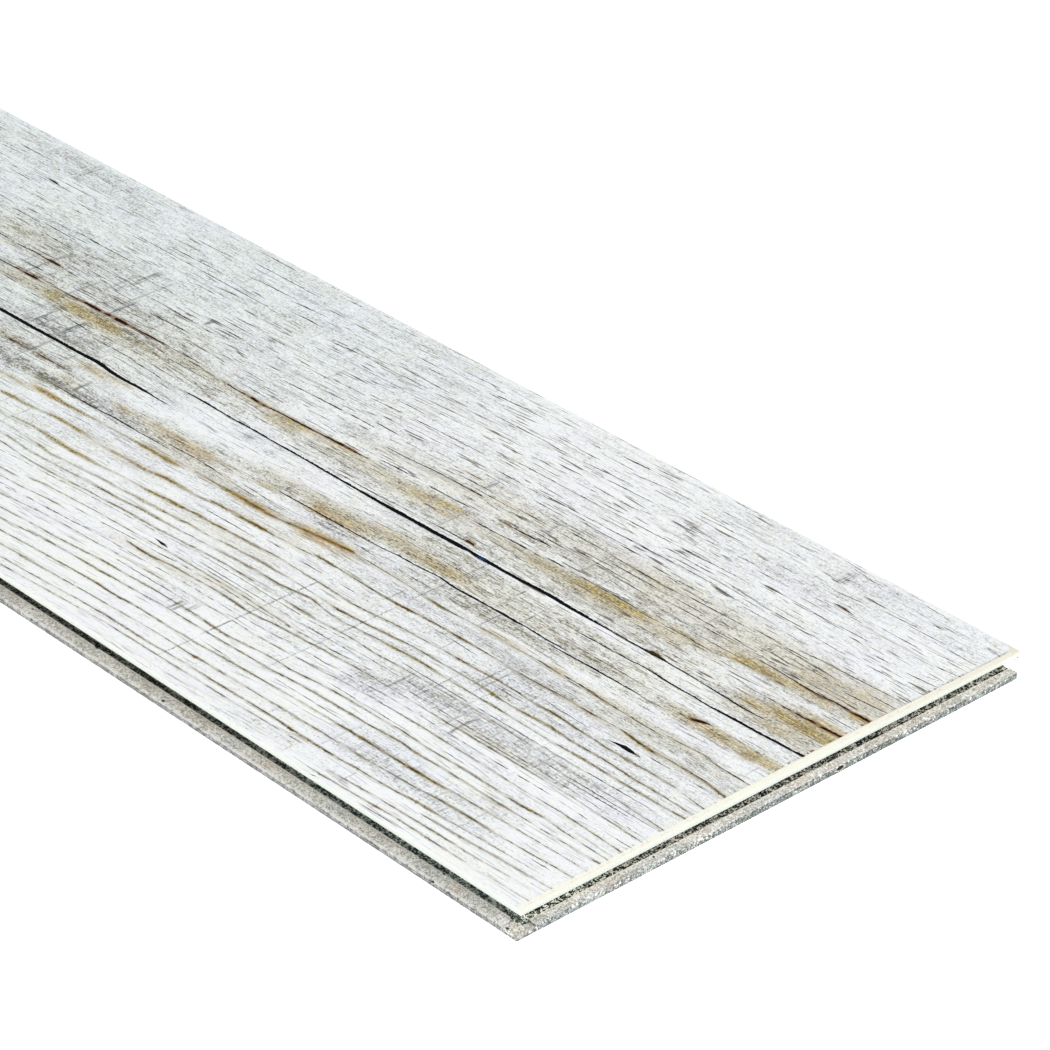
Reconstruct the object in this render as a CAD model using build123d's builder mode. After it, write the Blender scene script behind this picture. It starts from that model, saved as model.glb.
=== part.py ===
from build123d import *
import os

# Click-edged vinyl floor plank, lying flat with its printed side up.
# Frame: origin at the middle of the underside, +Z up, +X along the length
# towards the short end with the locking lip, +Y across the width towards the
# long side with the tongue.  Millimetres.

# ---------------------------------------------------------------- dimensions
cover_length = 1220.0        # laid length, face to face
cover_width = 180.0          # laid width, face to face
total_thickness = 5.0
decor_thickness = 0.3        # printed film with its clear wear layer
upper_thickness = 1.4        # cream vinyl layer under the decor
core_thickness = total_thickness - decor_thickness - upper_thickness

# Bevel along both short ends: one flat cut through the decor into the cream.
bevel_width = 1.75
bevel_drop = 0.5
decor_setback = 0.5          # the decor stops short of the tongue side's edge
decor_clip_x = 2.4           # decor missing at the corner of lip end and tongue side
decor_clip_y = 2.2

# Groove and locking lip (long side -Y, short end +X).
long_lip = 4.7               # lip beyond the face, long side
short_lip = 3.8              # lip beyond the face, short end
groove_depth = 1.7           # groove behind the face, under the cream layer
groove_floor = 1.2           # height of the groove's floor
groove_corner = 0.4          # radius where the floor meets the back wall
bead_height = 2.15           # height of the locking bead's inner edge
long_bead_in, long_bead_foot = 1.0, 0.5      # inner edge and foot of the bead's ramp
short_bead_in, short_bead_foot = 0.95, 0.45
long_lip_edge, short_lip_edge = 1.6, 2.08    # height of the lip's outer edge
lip_edge_radius = 0.25
lip_corner_radius = 1.0      # upright corner at the end lip's far end

# Tongue and undercut (long side +Y, short end -X), with play to the groove.
tongue_length = 1.55
tongue_top = core_thickness - 0.08
heel_height = groove_floor + 0.1             # underside of the tongue and heel
tongue_top_radius = 0.5
tongue_chamfer = 0.35
undercut_ceiling = bead_height + 0.08
side_play = 0.1

# Relief that slopes the two lips down to their free corner.
relief_corner_height = 0.3
relief_slope_x = 0.254       # rise per mm inwards from the lip's end
relief_slope_y = 0.2045      # rise per mm inwards from the lip's side
relief_reach_x, relief_reach_y = 9.0, 11.0

# ------------------------------------------------- faces in the plank's frame
# The origin is the middle of the whole outline, lips and tongues included.
face_lip_end = (cover_length + tongue_length - short_lip) / 2
face_tongue_end = face_lip_end - cover_length
face_lip_side = -(cover_width + tongue_length - long_lip) / 2
face_tongue_side = face_lip_side + cover_width
lip_end_x = face_lip_end + short_lip
lip_side_y = face_lip_side - long_lip


def core_section(lip_face, tongue_face, outward, lip, bead_in, bead_foot, lip_edge):
    """Corner points of the core's milled section, and the ones to round.

    outward is the direction, +1 or -1, in which the lip leaves its face; the
    tongue leaves the other face the opposite way.
    """
    def groove(u, z):
        return (lip_face + outward * u, z)

    def tongue(v, z):
        return (tongue_face - outward * v, z)

    lip_top_corner = groove(lip, lip_edge)
    groove_bottom = groove(-groove_depth, groove_floor)
    tongue_tip_top = tongue(tongue_length, tongue_top)
    points = [
        groove(lip, 0.0),
        lip_top_corner,
        groove(bead_in, bead_height),
        groove(bead_foot, groove_floor),
        groove_bottom,
        groove(-groove_depth, core_thickness),
        tongue(0.0, core_thickness),
        tongue(0.0, tongue_top),
        tongue_tip_top,
        tongue(tongue_length, heel_height + tongue_chamfer),
        tongue(tongue_length - tongue_chamfer, heel_height),
        tongue(-(bead_foot - side_play), heel_height),
        tongue(-(bead_in - side_play), undercut_ceiling),
        tongue(-(lip + side_play), undercut_ceiling),
        tongue(-(lip + side_play), 0.0),
    ]
    rounded = [
        (lip_top_corner, lip_edge_radius),
        (groove_bottom, groove_corner),
        (tongue_tip_top, tongue_top_radius),
    ]
    return points, rounded


long_points, long_rounded = core_section(
    face_lip_side, face_tongue_side, -1, long_lip,
    long_bead_in, long_bead_foot, long_lip_edge)
short_points, short_rounded = core_section(
    face_lip_end, face_tongue_end, 1, short_lip,
    short_bead_in, short_bead_foot, short_lip_edge)

# ------------------------------------------- relief at the lips' free corner
# Plane through the lowered corner of the lips, rising inwards both ways.
relief_plane = Plane(
    origin=(lip_end_x, lip_side_y, relief_corner_height),
    z_dir=(relief_slope_x, -relief_slope_y, 1.0))

with BuildPart() as lip_relief:
    with BuildSketch(Plane.XY):
        with BuildLine():
            Polyline(
                (lip_end_x + 1, lip_side_y - 1),
                (lip_end_x + 1, lip_side_y + relief_reach_y),
                (face_lip_end, lip_side_y + relief_reach_y),
                (face_lip_end, face_lip_side),
                (lip_end_x - relief_reach_x, face_lip_side),
                (lip_end_x - relief_reach_x, lip_side_y - 1),
                close=True)
        make_face()
    extrude(amount=core_thickness)
    split(bisect_by=relief_plane, keep=Keep.TOP)

# ------------------------------------------------------------- core board
# Filled grey board, milled twice: the long sides' section runs the whole
# length, the short ends' section the whole width, and the board is what both leave.
with BuildPart() as core_board:
    with BuildSketch(Plane.YZ) as long_section:
        with BuildLine():
            Polyline(*long_points, close=True)
        make_face()
        for corner, radius in long_rounded:
            fillet(long_section.vertices().sort_by_distance(corner)[0], radius)
    extrude(amount=cover_length / 2 + 10, both=True)
    with BuildSketch(Plane.XZ) as short_section:
        with BuildLine():
            Polyline(*short_points, close=True)
        make_face()
        for corner, radius in short_rounded:
            fillet(short_section.vertices().sort_by_distance(corner)[0], radius)
    extrude(amount=cover_width, both=True, mode=Mode.INTERSECT)
    # Lip end, tongue side: the end lip stops where the next row's lip passes.
    with BuildSketch(Plane.XY):
        with Locations((face_lip_end - groove_depth,
                        face_tongue_side - long_lip - side_play)):
            Rectangle(20, 20, align=(Align.MIN, Align.MIN))
    extrude(amount=core_thickness, mode=Mode.SUBTRACT)
    # Tongue end, lip side: the side lip stops where the end neighbour's lip passes.
    with BuildSketch(Plane.XY):
        with Locations((face_tongue_end + short_lip + side_play,
                        face_lip_side + groove_depth)):
            Rectangle(20, 20, align=(Align.MAX, Align.MAX))
    extrude(amount=core_thickness, mode=Mode.SUBTRACT)
    add(lip_relief.part, mode=Mode.SUBTRACT)
    far_corner = (lip_end_x, face_tongue_side - long_lip - side_play, 0.8)
    fillet(core_board.edges().filter_by(Axis.Z).sort_by_distance(far_corner)[0], lip_corner_radius)

# ------------------------------------------------------------- upper layer
# Cream vinyl, bonded on the core; it bridges the groove as the upper lip.
cream_base = core_thickness
cream_top = core_thickness + upper_thickness
bevel_foot = total_thickness - bevel_drop            # height at the end face
cream_bevel = bevel_width * (cream_top - bevel_foot) / bevel_drop
with BuildPart() as upper_vinyl_layer:
    with BuildSketch(Plane.XZ.offset(-face_tongue_side)):
        with BuildLine():
            Polyline(
                (face_tongue_end, cream_base),
                (face_lip_end, cream_base),
                (face_lip_end, bevel_foot),
                (face_lip_end - cream_bevel, cream_top),
                (face_tongue_end + cream_bevel, cream_top),
                (face_tongue_end, bevel_foot),
                close=True)
        make_face()
    extrude(amount=cover_width)

# ------------------------------------------------------------- decor layer
decor_top_x = face_lip_end - bevel_width
decor_side_y = face_tongue_side - decor_setback
with BuildPart() as decor_wear_layer:
    with BuildSketch(Plane.XZ.offset(-decor_side_y)):
        with BuildLine():
            Polyline(
                (face_tongue_end + cream_bevel, cream_top),
                (face_lip_end - cream_bevel, cream_top),
                (decor_top_x, total_thickness),
                (face_tongue_end + bevel_width, total_thickness),
                close=True)
        make_face()
    extrude(amount=cover_width - decor_setback)
    # The decor's corner is broken away at the lip end's tongue side.
    with BuildSketch(Plane.XY.offset(cream_top)):
        with BuildLine():
            Polyline(
                (decor_top_x - decor_clip_x, decor_side_y + 1),
                (decor_top_x - decor_clip_x, decor_side_y),
                (decor_top_x, decor_side_y - decor_clip_y),
                (face_lip_end + 1, decor_side_y - decor_clip_y),
                (face_lip_end + 1, decor_side_y + 1),
                close=True)
        make_face()
    extrude(amount=decor_thickness, mode=Mode.SUBTRACT)

# ------------------------------------------------------------------ export
core_board.part.label = "core_board"
upper_vinyl_layer.part.label = "upper_vinyl_layer"
decor_wear_layer.part.label = "decor_wear_layer"

os.makedirs("parts", exist_ok=True)
export_step(core_board.part, "parts/core_board.step")
export_step(upper_vinyl_layer.part, "parts/upper_vinyl_layer.step")
export_step(decor_wear_layer.part, "parts/decor_wear_layer.step")
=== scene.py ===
import math

import bpy
import numpy as np
from mathutils import Matrix, Vector


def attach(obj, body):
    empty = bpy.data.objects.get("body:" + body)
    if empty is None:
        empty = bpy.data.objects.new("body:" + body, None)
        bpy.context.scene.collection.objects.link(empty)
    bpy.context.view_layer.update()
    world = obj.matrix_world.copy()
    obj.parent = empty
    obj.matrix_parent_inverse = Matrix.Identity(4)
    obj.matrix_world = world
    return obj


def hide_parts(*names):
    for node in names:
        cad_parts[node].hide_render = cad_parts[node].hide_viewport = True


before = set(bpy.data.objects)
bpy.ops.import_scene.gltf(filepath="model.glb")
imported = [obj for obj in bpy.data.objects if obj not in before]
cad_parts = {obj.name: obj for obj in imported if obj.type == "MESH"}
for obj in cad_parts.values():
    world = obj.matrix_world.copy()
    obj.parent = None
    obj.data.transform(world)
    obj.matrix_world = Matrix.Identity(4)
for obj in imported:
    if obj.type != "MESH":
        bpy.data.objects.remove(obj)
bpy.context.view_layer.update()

MM = 0.001
scene = bpy.context.scene
scene.view_settings.view_transform = "Standard"
scene.view_settings.look = "None"

# ------------------------------------------------------------------ sizes (mm)
TOP_Z, DECOR_Z = 5.0, 4.7
TOP_X0, TOP_X1 = -609.375, 607.125       # printed face, between the end bevels
FOOT_X0, FOOT_X1 = -610.425, 608.175     # where the bevels leave the decor
SIDE_Y0, SIDE_Y1 = -88.425, 91.075
CLIP_X, CLIP_Y = 2.4, 2.2                # decor missing at the far corner


# ------------------------------------------------------- strokes of the print
# Every stroke runs along the plank: (x, y, width) or (x, y, width, tone), in mm.
# Tones: 0 blue-black, .25 charcoal, .45 dark brown, .6 olive, .75 ochre, 1 rust.
STROKES = []
SCRATCHES = []     # strokes across the plank: (x, y, width), tone is strength
STAINS = []        # (kind, x0, x1, y0, y1, strength)


def stroke(tone, *points):
    STROKES.append([(p[0], p[1], p[2], p[3] if len(p) > 3 else tone) for p in points])


def dash(x0, x1, y0, y1=None, width=0.3, tone=0.3):
    y1 = y0 if y1 is None else y1
    xm = x0 + 0.45 * (x1 - x0)
    ym = y0 + 0.45 * (y1 - y0)
    STROKES.append([(x0, y0, width * 0.35, tone), (xm, ym, width, tone), (x1, y1, width * 0.3, tone)])


def scratch(x, y0, y1, width=0.4, strength=0.5, lean=0.0):
    SCRATCHES.append((x, y0, x + lean, y1, width, strength))


def stain(kind, x0, x1, y0, y1, strength):
    STAINS.append((kind, x0, x1, min(y0, y1), max(y0, y1), strength))


# Open checks in the wood.
CRACK_A = [(262, 4.7, 1.0), (266, 4.7, 1.15), (280, 4.9, 1.15), (292, 5.3, 1.1), (300, 5.5, 1.05),
           (308, 5.8, 1.2), (312, 6.1, 1.3), (317, 5.7, 1.2), (321, 5.2, 1.05), (327, 5.2, 1.0),
           (333, 5.5, 0.9), (339, 5.5, 0.5), (343.5, 5.3, 0.3), (347, 5.5, 0.15)]
CRACK_B = [(345, 14.2, 0.3), (350.5, 14.5, 0.6), (360, 14.4, 0.55), (366, 14.3, 0.4), (373, 14.6, 0.5),
           (390, 14.6, 0.55), (400, 14.8, 0.6), (410, 14.7, 0.6), (421, 14.8, 0.65), (433, 14.8, 1.0),
           (441, 15.0, 1.25), (449, 15.2, 1.25), (457, 15.3, 1.2), (463, 15.5, 1.3), (469, 15.7, 1.35),
           (470.6, 15.9, 0.7), (472, 15.7, 1.0), (474, 15.6, 1.1), (478, 15.7, 1.2), (482, 15.8, 1.0),
           (492, 15.9, 0.95), (496, 16.2, 1.05), (503, 16.5, 1.15), (511, 16.3, 1.0), (520, 16.3, 0.7),
           (526, 16.4, 0.5), (533.8, 16.5, 0.4), (534.8, 16.5, 0.1), (536, 16.5, 0.45), (542, 16.6, 0.6),
           (548, 16.7, 0.5), (550, 16.7, 0.3), (554, 16.7, 0.45), (559, 16.7, 0.3), (562, 16.5, 0.15),
           (565, 16.5, 0.2), (568, 16.4, 0.4), (573, 16.3, 0.4), (575.5, 16.1, 0.3), (577.5, 16.0, 0.55),
           (580.5, 16.0, 0.55), (582.6, 16.1, 0.2), (588, 16.3, 0.15)]
CRACK_C = [(409, -2.5, 0.3), (421, -2.2, 0.4), (436, -1.8, 0.4), (449, -1.5, 0.25), (455, -1.2, 0.2),
           (459, -0.5, 0.4), (466, -0.4, 0.45), (472, 0.0, 0.4), (475, 0.5, 0.35), (480, 0.0, 0.6),
           (484, -0.2, 0.6), (492, 0.2, 0.55), (498, 0.3, 0.5), (502, 0.5, 0.7), (508, 0.4, 0.6),
           (511, 0.8, 0.35), (515, 0.5, 0.45), (521, 0.5, 0.45), (526.5, 0.6, 0.2)]
CRACK_C2 = [(521.8, -0.6, 0.25), (528, -0.5, 0.3), (530.5, -0.4, 0.5), (533.6, -0.3, 0.45), (534.6, -0.2, 0.15),
            (536, -0.1, 0.5), (542, 0.0, 0.5), (547, 0.1, 0.45), (549, 0.2, 0.2), (552, 0.2, 0.4), (557, 0.2, 0.15)]
CRACK_D = [(522, 9.3, 0.15), (528, 9.6, 0.3), (534, 9.8, 0.25), (535.5, 9.9, 0.05), (537.5, 9.9, 0.25),
           (543.2, 10.0, 0.3), (544.4, 10.3, 0.25), (549, 10.5, 0.3), (552.5, 10.4, 0.5), (557, 10.1, 0.5),
           (562, 10.1, 0.4), (567, 10.2, 0.5), (571, 10.0, 0.4), (576, 10.2, 0.6), (582, 10.5, 0.75),
           (590, 10.7, 0.7), (596, 11.0, 0.65), (601, 11.2, 0.6), (602.5, 11.2, 0.4), (604, 11.4, 0.7),
           (608, 11.5, 0.75)]
CRACK_G = [(314, -12.0, 0.2), (323.5, -12.2, 0.45), (331, -12.0, 0.5), (339.7, -11.6, 0.4),
           (343.5, -11.1, 0.6), (350.5, -11.2, 0.5), (354, -11.1, 0.25), (360, -11.0, 0.3),
           (369.7, -10.8, 0.2)]
CRACK_H = [(368, -8.9, 0.25), (377, -8.5, 0.4), (383.5, -8.5, 0.45), (390, -8.8, 0.25)]
for tone, line in ((0.02, CRACK_A), (0.03, CRACK_B), (0.12, CRACK_C), (0.12, CRACK_C2),
                   (0.05, CRACK_D), (0.2, CRACK_G), (0.25, CRACK_H)):
    stroke(tone, *line)
stroke(0.3, (401, -7.8, 0.2), (405, -7.7, 0.35), (410.5, -8.0, 0.3), (420, -8.0, 0.15))
# Second line above the long check, with its knot.
stroke(0.36, (402.8, 16.4, 0.25), (415, 16.6, 0.35), (429, 16.9, 0.35), (438, 17.5, 0.3), (449, 18.1, 0.3),
       (453.5, 18.3, 0.2), (456, 18.4, 0.35), (460, 18.5, 0.45), (465, 18.6, 0.5))
stroke(0.52, (464.6, 18.6, 0.5), (466, 18.9, 0.8), (467.6, 19.1, 1.05), (469.0, 18.8, 0.75), (470.2, 18.3, 0.5, 0.45),
       (472.6, 18.1, 0.4, 0.4), (473.2, 18.1, 0.1, 0.4))
stroke(0.6, (464, 12.2, 0.3), (465.5, 12.7, 0.8), (467.0, 13.3, 0.9), (468.6, 13.9, 0.4))
stroke(0.62, (470.5, 13.6, 0.2), (473, 13.2, 0.9), (476.5, 12.8, 0.3))
stroke(0.54, (541.5, 17.0, 0.3), (544, 17.4, 0.9), (546.5, 17.3, 0.8), (549, 17.0, 0.2))
stroke(0.57, (529, 16.9, 0.2), (532, 17.0, 0.55), (534.2, 16.8, 0.3))
stroke(1.0, (474.6, 15.7, 0.3), (475.6, 15.7, 0.8), (476.8, 15.8, 0.4))
stroke(0.35, (253, 14.0, 0.3), (261, 14.3, 0.35), (268, 14.8, 0.3), (272, 14.9, 0.1))
stroke(0.3, (299.7, 14.5, 0.2), (308, 14.8, 0.35), (317.4, 14.9, 0.35), (322, 14.3, 0.3),
       (327.4, 14.3, 0.35), (333.5, 13.8, 0.15))
# Brown seam.
stroke(0.3, (237, 25.2, 0.1), (243, 25.8, 0.22), (248, 26.0, 0.25), (255, 26.2, 0.25), (263, 26.5, 0.3), (264.5, 26.5, 0.1))
stroke(0.42, (267.5, 25.8, 0.35), (273, 26.1, 0.6), (278, 26.6, 0.9, 0.5), (280.5, 26.8, 1.3, 0.5),
       (287, 26.8, 1.2, 0.5), (289.5, 27.0, 0.7), (293, 27.2, 1.4, 0.5), (300, 27.4, 1.3, 0.5),
       (303, 27.6, 0.7), (310, 27.8, 0.7), (317.4, 28.2, 0.4), (319, 28.2, 0.1))
stroke(0.4, (301, 26.8, 0.2), (305, 27.0, 0.4), (309.7, 26.9, 0.3), (313, 27.2, 0.1))
stroke(0.42, (322, 28.4, 0.2), (326, 28.5, 0.4), (334, 28.3, 0.2))
stroke(0.4, (327, 27.0, 0.2), (331, 27.0, 0.35), (341, 26.6, 0.3), (350.5, 26.5, 0.5), (354, 26.2, 0.5),
       (361, 26.5, 0.7, 0.5), (365, 26.2, 0.9, 0.5), (368, 26.2, 0.7), (372, 26.8, 0.5), (377, 27.0, 0.7),
       (385, 27.2, 0.8), (392, 27.7, 0.6), (398, 28.0, 0.8), (404, 28.3, 0.9, 0.5), (408.5, 28.3, 0.5),
       (415, 28.7, 0.2))
stroke(0.35, (459.5, 27.8, 0.3), (462, 27.8, 0.55), (466, 27.8, 0.5), (472, 28.2, 0.3), (480, 28.5, 0.6),
       (484, 28.5, 0.5), (487, 28.5, 0.15))
stroke(0.3, (488, 29.5, 0.4), (492.6, 29.5, 0.55), (502, 29.5, 0.55), (511, 29.6, 0.5), (517, 29.7, 0.6),
       (521, 29.6, 0.35), (531, 29.7, 0.15))
stroke(0.5, (537, 29.2, 0.25), (542, 29.5, 0.4), (549.5, 29.3, 0.4), (557, 29.5, 0.2))
stroke(0.45, (564, 35.8, 0.2), (571, 35.8, 0.3), (578.8, 35.5, 0.5), (584, 35.3, 0.5), (590, 35.5, 0.45),
       (594, 36.0, 0.6), (600, 35.7, 0.6), (603.4, 36.0, 1.0), (606.5, 35.9, 1.1), (608, 35.9, 1.0))
stroke(0.44, (584, 24.4, 0.3), (590, 24.5, 0.55), (594, 24.5, 0.5), (596, 24.9, 0.75), (600, 24.8, 0.8, 0.5),
       (604, 25.0, 1.1, 0.5), (608, 25.1, 1.1, 0.5))
# Dashes between the seams.
stroke(0.38, (462.8, 33.5, 0.5, 0.5), (464, 33.5, 0.7, 0.5), (468, 33.5, 0.65), (472, 33.5, 0.65), (478, 33.8, 0.6), (481, 34.1, 0.2))
stroke(0.35, (410.5, 36.9, 0.2), (415, 37.0, 0.4), (420, 37.2, 0.4), (426, 37.8, 0.35), (430.5, 38.3, 0.6),
       (441, 38.5, 0.65), (449, 38.7, 0.65), (451, 38.5, 0.2))
stroke(0.42, (432.4, 44.3, 0.4), (437, 44.6, 0.5), (444, 44.8, 0.3))
stroke(0.35, (414, 30.7, 0.2), (421, 31.2, 0.45), (426, 31.4, 0.5), (430, 31.4, 0.2))
stroke(0.42, (437, 31.2, 0.3), (445, 31.6, 0.35), (449.7, 31.8, 0.4), (454, 31.8, 0.2))
stroke(0.3, (475, 36.4, 0.3), (480, 36.5, 0.35), (487, 36.5, 0.25))
stroke(0.35, (488, 38.9, 0.25), (492.6, 38.5, 0.45), (496.5, 38.3, 0.2))
stroke(0.35, (497, 37.8, 0.2), (503, 37.8, 0.4), (506.5, 37.8, 0.3), (514, 37.7, 0.2))
stroke(0.42, (529, 38.7, 0.2), (534, 38.5, 0.35), (543, 38.5, 0.4), (551, 38.5, 0.45), (556.5, 38.5, 0.25))
for x0, x1, y0, y1, w, t in (
        (575.7, 581, 37.2, 36.9, .4, .3), (509, 515, 34.3, 33.8, .25, .35), (392, 418, 20.8, 21.4, .3, .42),
        (404, 412, 21.2, 21.2, .4, .35), (400.5, 407.4, 29.6, 29.7, .35, .4), (399, 405, 44.3, 44.2, .4, .3),
        (372, 398, 40.9, 42.0, .35, .4), (353, 365.5, 29.9, 29.8, .4, .25), (325, 342, 23.4, 23.6, .4, .35),
        (311, 320, 22.2, 22.5, .3, .6), (328, 333, 18.8, 18.8, .35, .4), (285, 295, 16.4, 16.2, .45, .15),
        (279.7, 289, -5.0, -4.5, .5, .45), (288, 312, -4.5, -3.8, .62, .42), (269, 289.5, 29.9, 30.8, .35, .3),
        (320, 324.5, 34.0, 33.8, .4, .3), (569.5, 576, 1.7, 1.9, .45, .42),
        (384, 391.5, -5.0, -5.4, .55, .5), (365, 371, -6.0, -5.6, .35, .5), (566, 572, 24.8, 24.6, .35, .35),
        (558, 562, 19.3, 19.1, .35, .4), (455, 461, 36.9, 36.9, .25, .35), (458, 464, 38.4, 38.5, .25, .3),
        (470, 480, 39.0, 39.2, .25, .35), (488, 496, 33.1, 33.2, .25, .35), (488, 493, 20.4, 20.4, .3, .4),
        (585, 600, 31.2, 31.4, .25, .4), (594, 607, 30.1, 30.2, .3, .42), (532, 541, 33.9, 34.1, .25, .4),
        (545, 563, 32.4, 32.8, .25, .42), (445, 461, -5.4, -5.6, .3, .35), (466, 480, -5.5, -5.2, .3, .3),
        (480, 497, -5.1, -5.0, .3, .35), (537, 547, -13.1, -13.0, .25, .35), (400, 407, -9.6, -9.6, .3, .35),
        (432, 440, -3.6, -3.4, .35, .3), (590, 612, -8.1, -8.2, .4, .3), (491, 499, -9.5, -9.2, .3, .5),
        (548.6, 558.5, -8.7, -8.8, .55, .42), (563, 572, -9.1, -9.0, .35, .42), (536, 548, -8.2, -8.1, .4, .5), (538.5, 545, -9.1, -9.1, .35, .45),
        (593, 599.5, -15.4, -15.3, .4, .3), (600, 606, 19.0, 19.2, .25, .35), (576, 584.5, 24.3, 24.4, .2, .4),
        (526, 552, 4.0, 4.2, .2, .5), (470, 484, 6.8, 6.7, .25, .35), (481, 492, 11.0, 11.0, .2, .5),
        (362, 369, 31.2, 31.4, .25, .35), (350, 364, 32.8, 33.0, .25, .35), (345, 354, 35.5, 35.5, .3, .3),
        (372, 381, 36.9, 36.9, .25, .3), (447, 451, 35.0, 35.0, .35, .3), (393, 399, 32.6, 32.7, .2, .4)):
    dash(x0, x1, y0, y1, w, t)
# Small marks.
stroke(0.44, (571, 1.9, 0.3), (574.5, 2.3, 0.75), (576.6, 2.9, 1.4), (577.8, 3.4, 1.2), (579.4, 4.0, 0.4))
stroke(0.05, (567.5, -20.8, 0.2), (570, -20.2, 0.6), (572.5, -20.0, 1.2), (575, -20.1, 1.3), (577, -20.2, 0.3))
stroke(0.2, (407.5, -45.1, 0.25), (409.5, -45.3, 0.7), (411.5, -45.5, 0.9), (413, -45.7, 0.3))
dash(580, 587, -18.4, -18.2, 0.35, 0.25)
stroke(0.4, (558.8, 71.5, 0.3), (560.5, 71.6, 0.8), (563, 71.4, 0.8), (566, 71.0, 0.2))
stroke(0.35, (375, -39.5, 0.4), (376.2, -39.3, 0.9), (377.6, -39.4, 0.3))
stroke(0.45, (471, 66.2, 0.2), (484, 66.0, 0.35), (487, 66.8, 0.4), (489.5, 67.6, 0.2))

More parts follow.
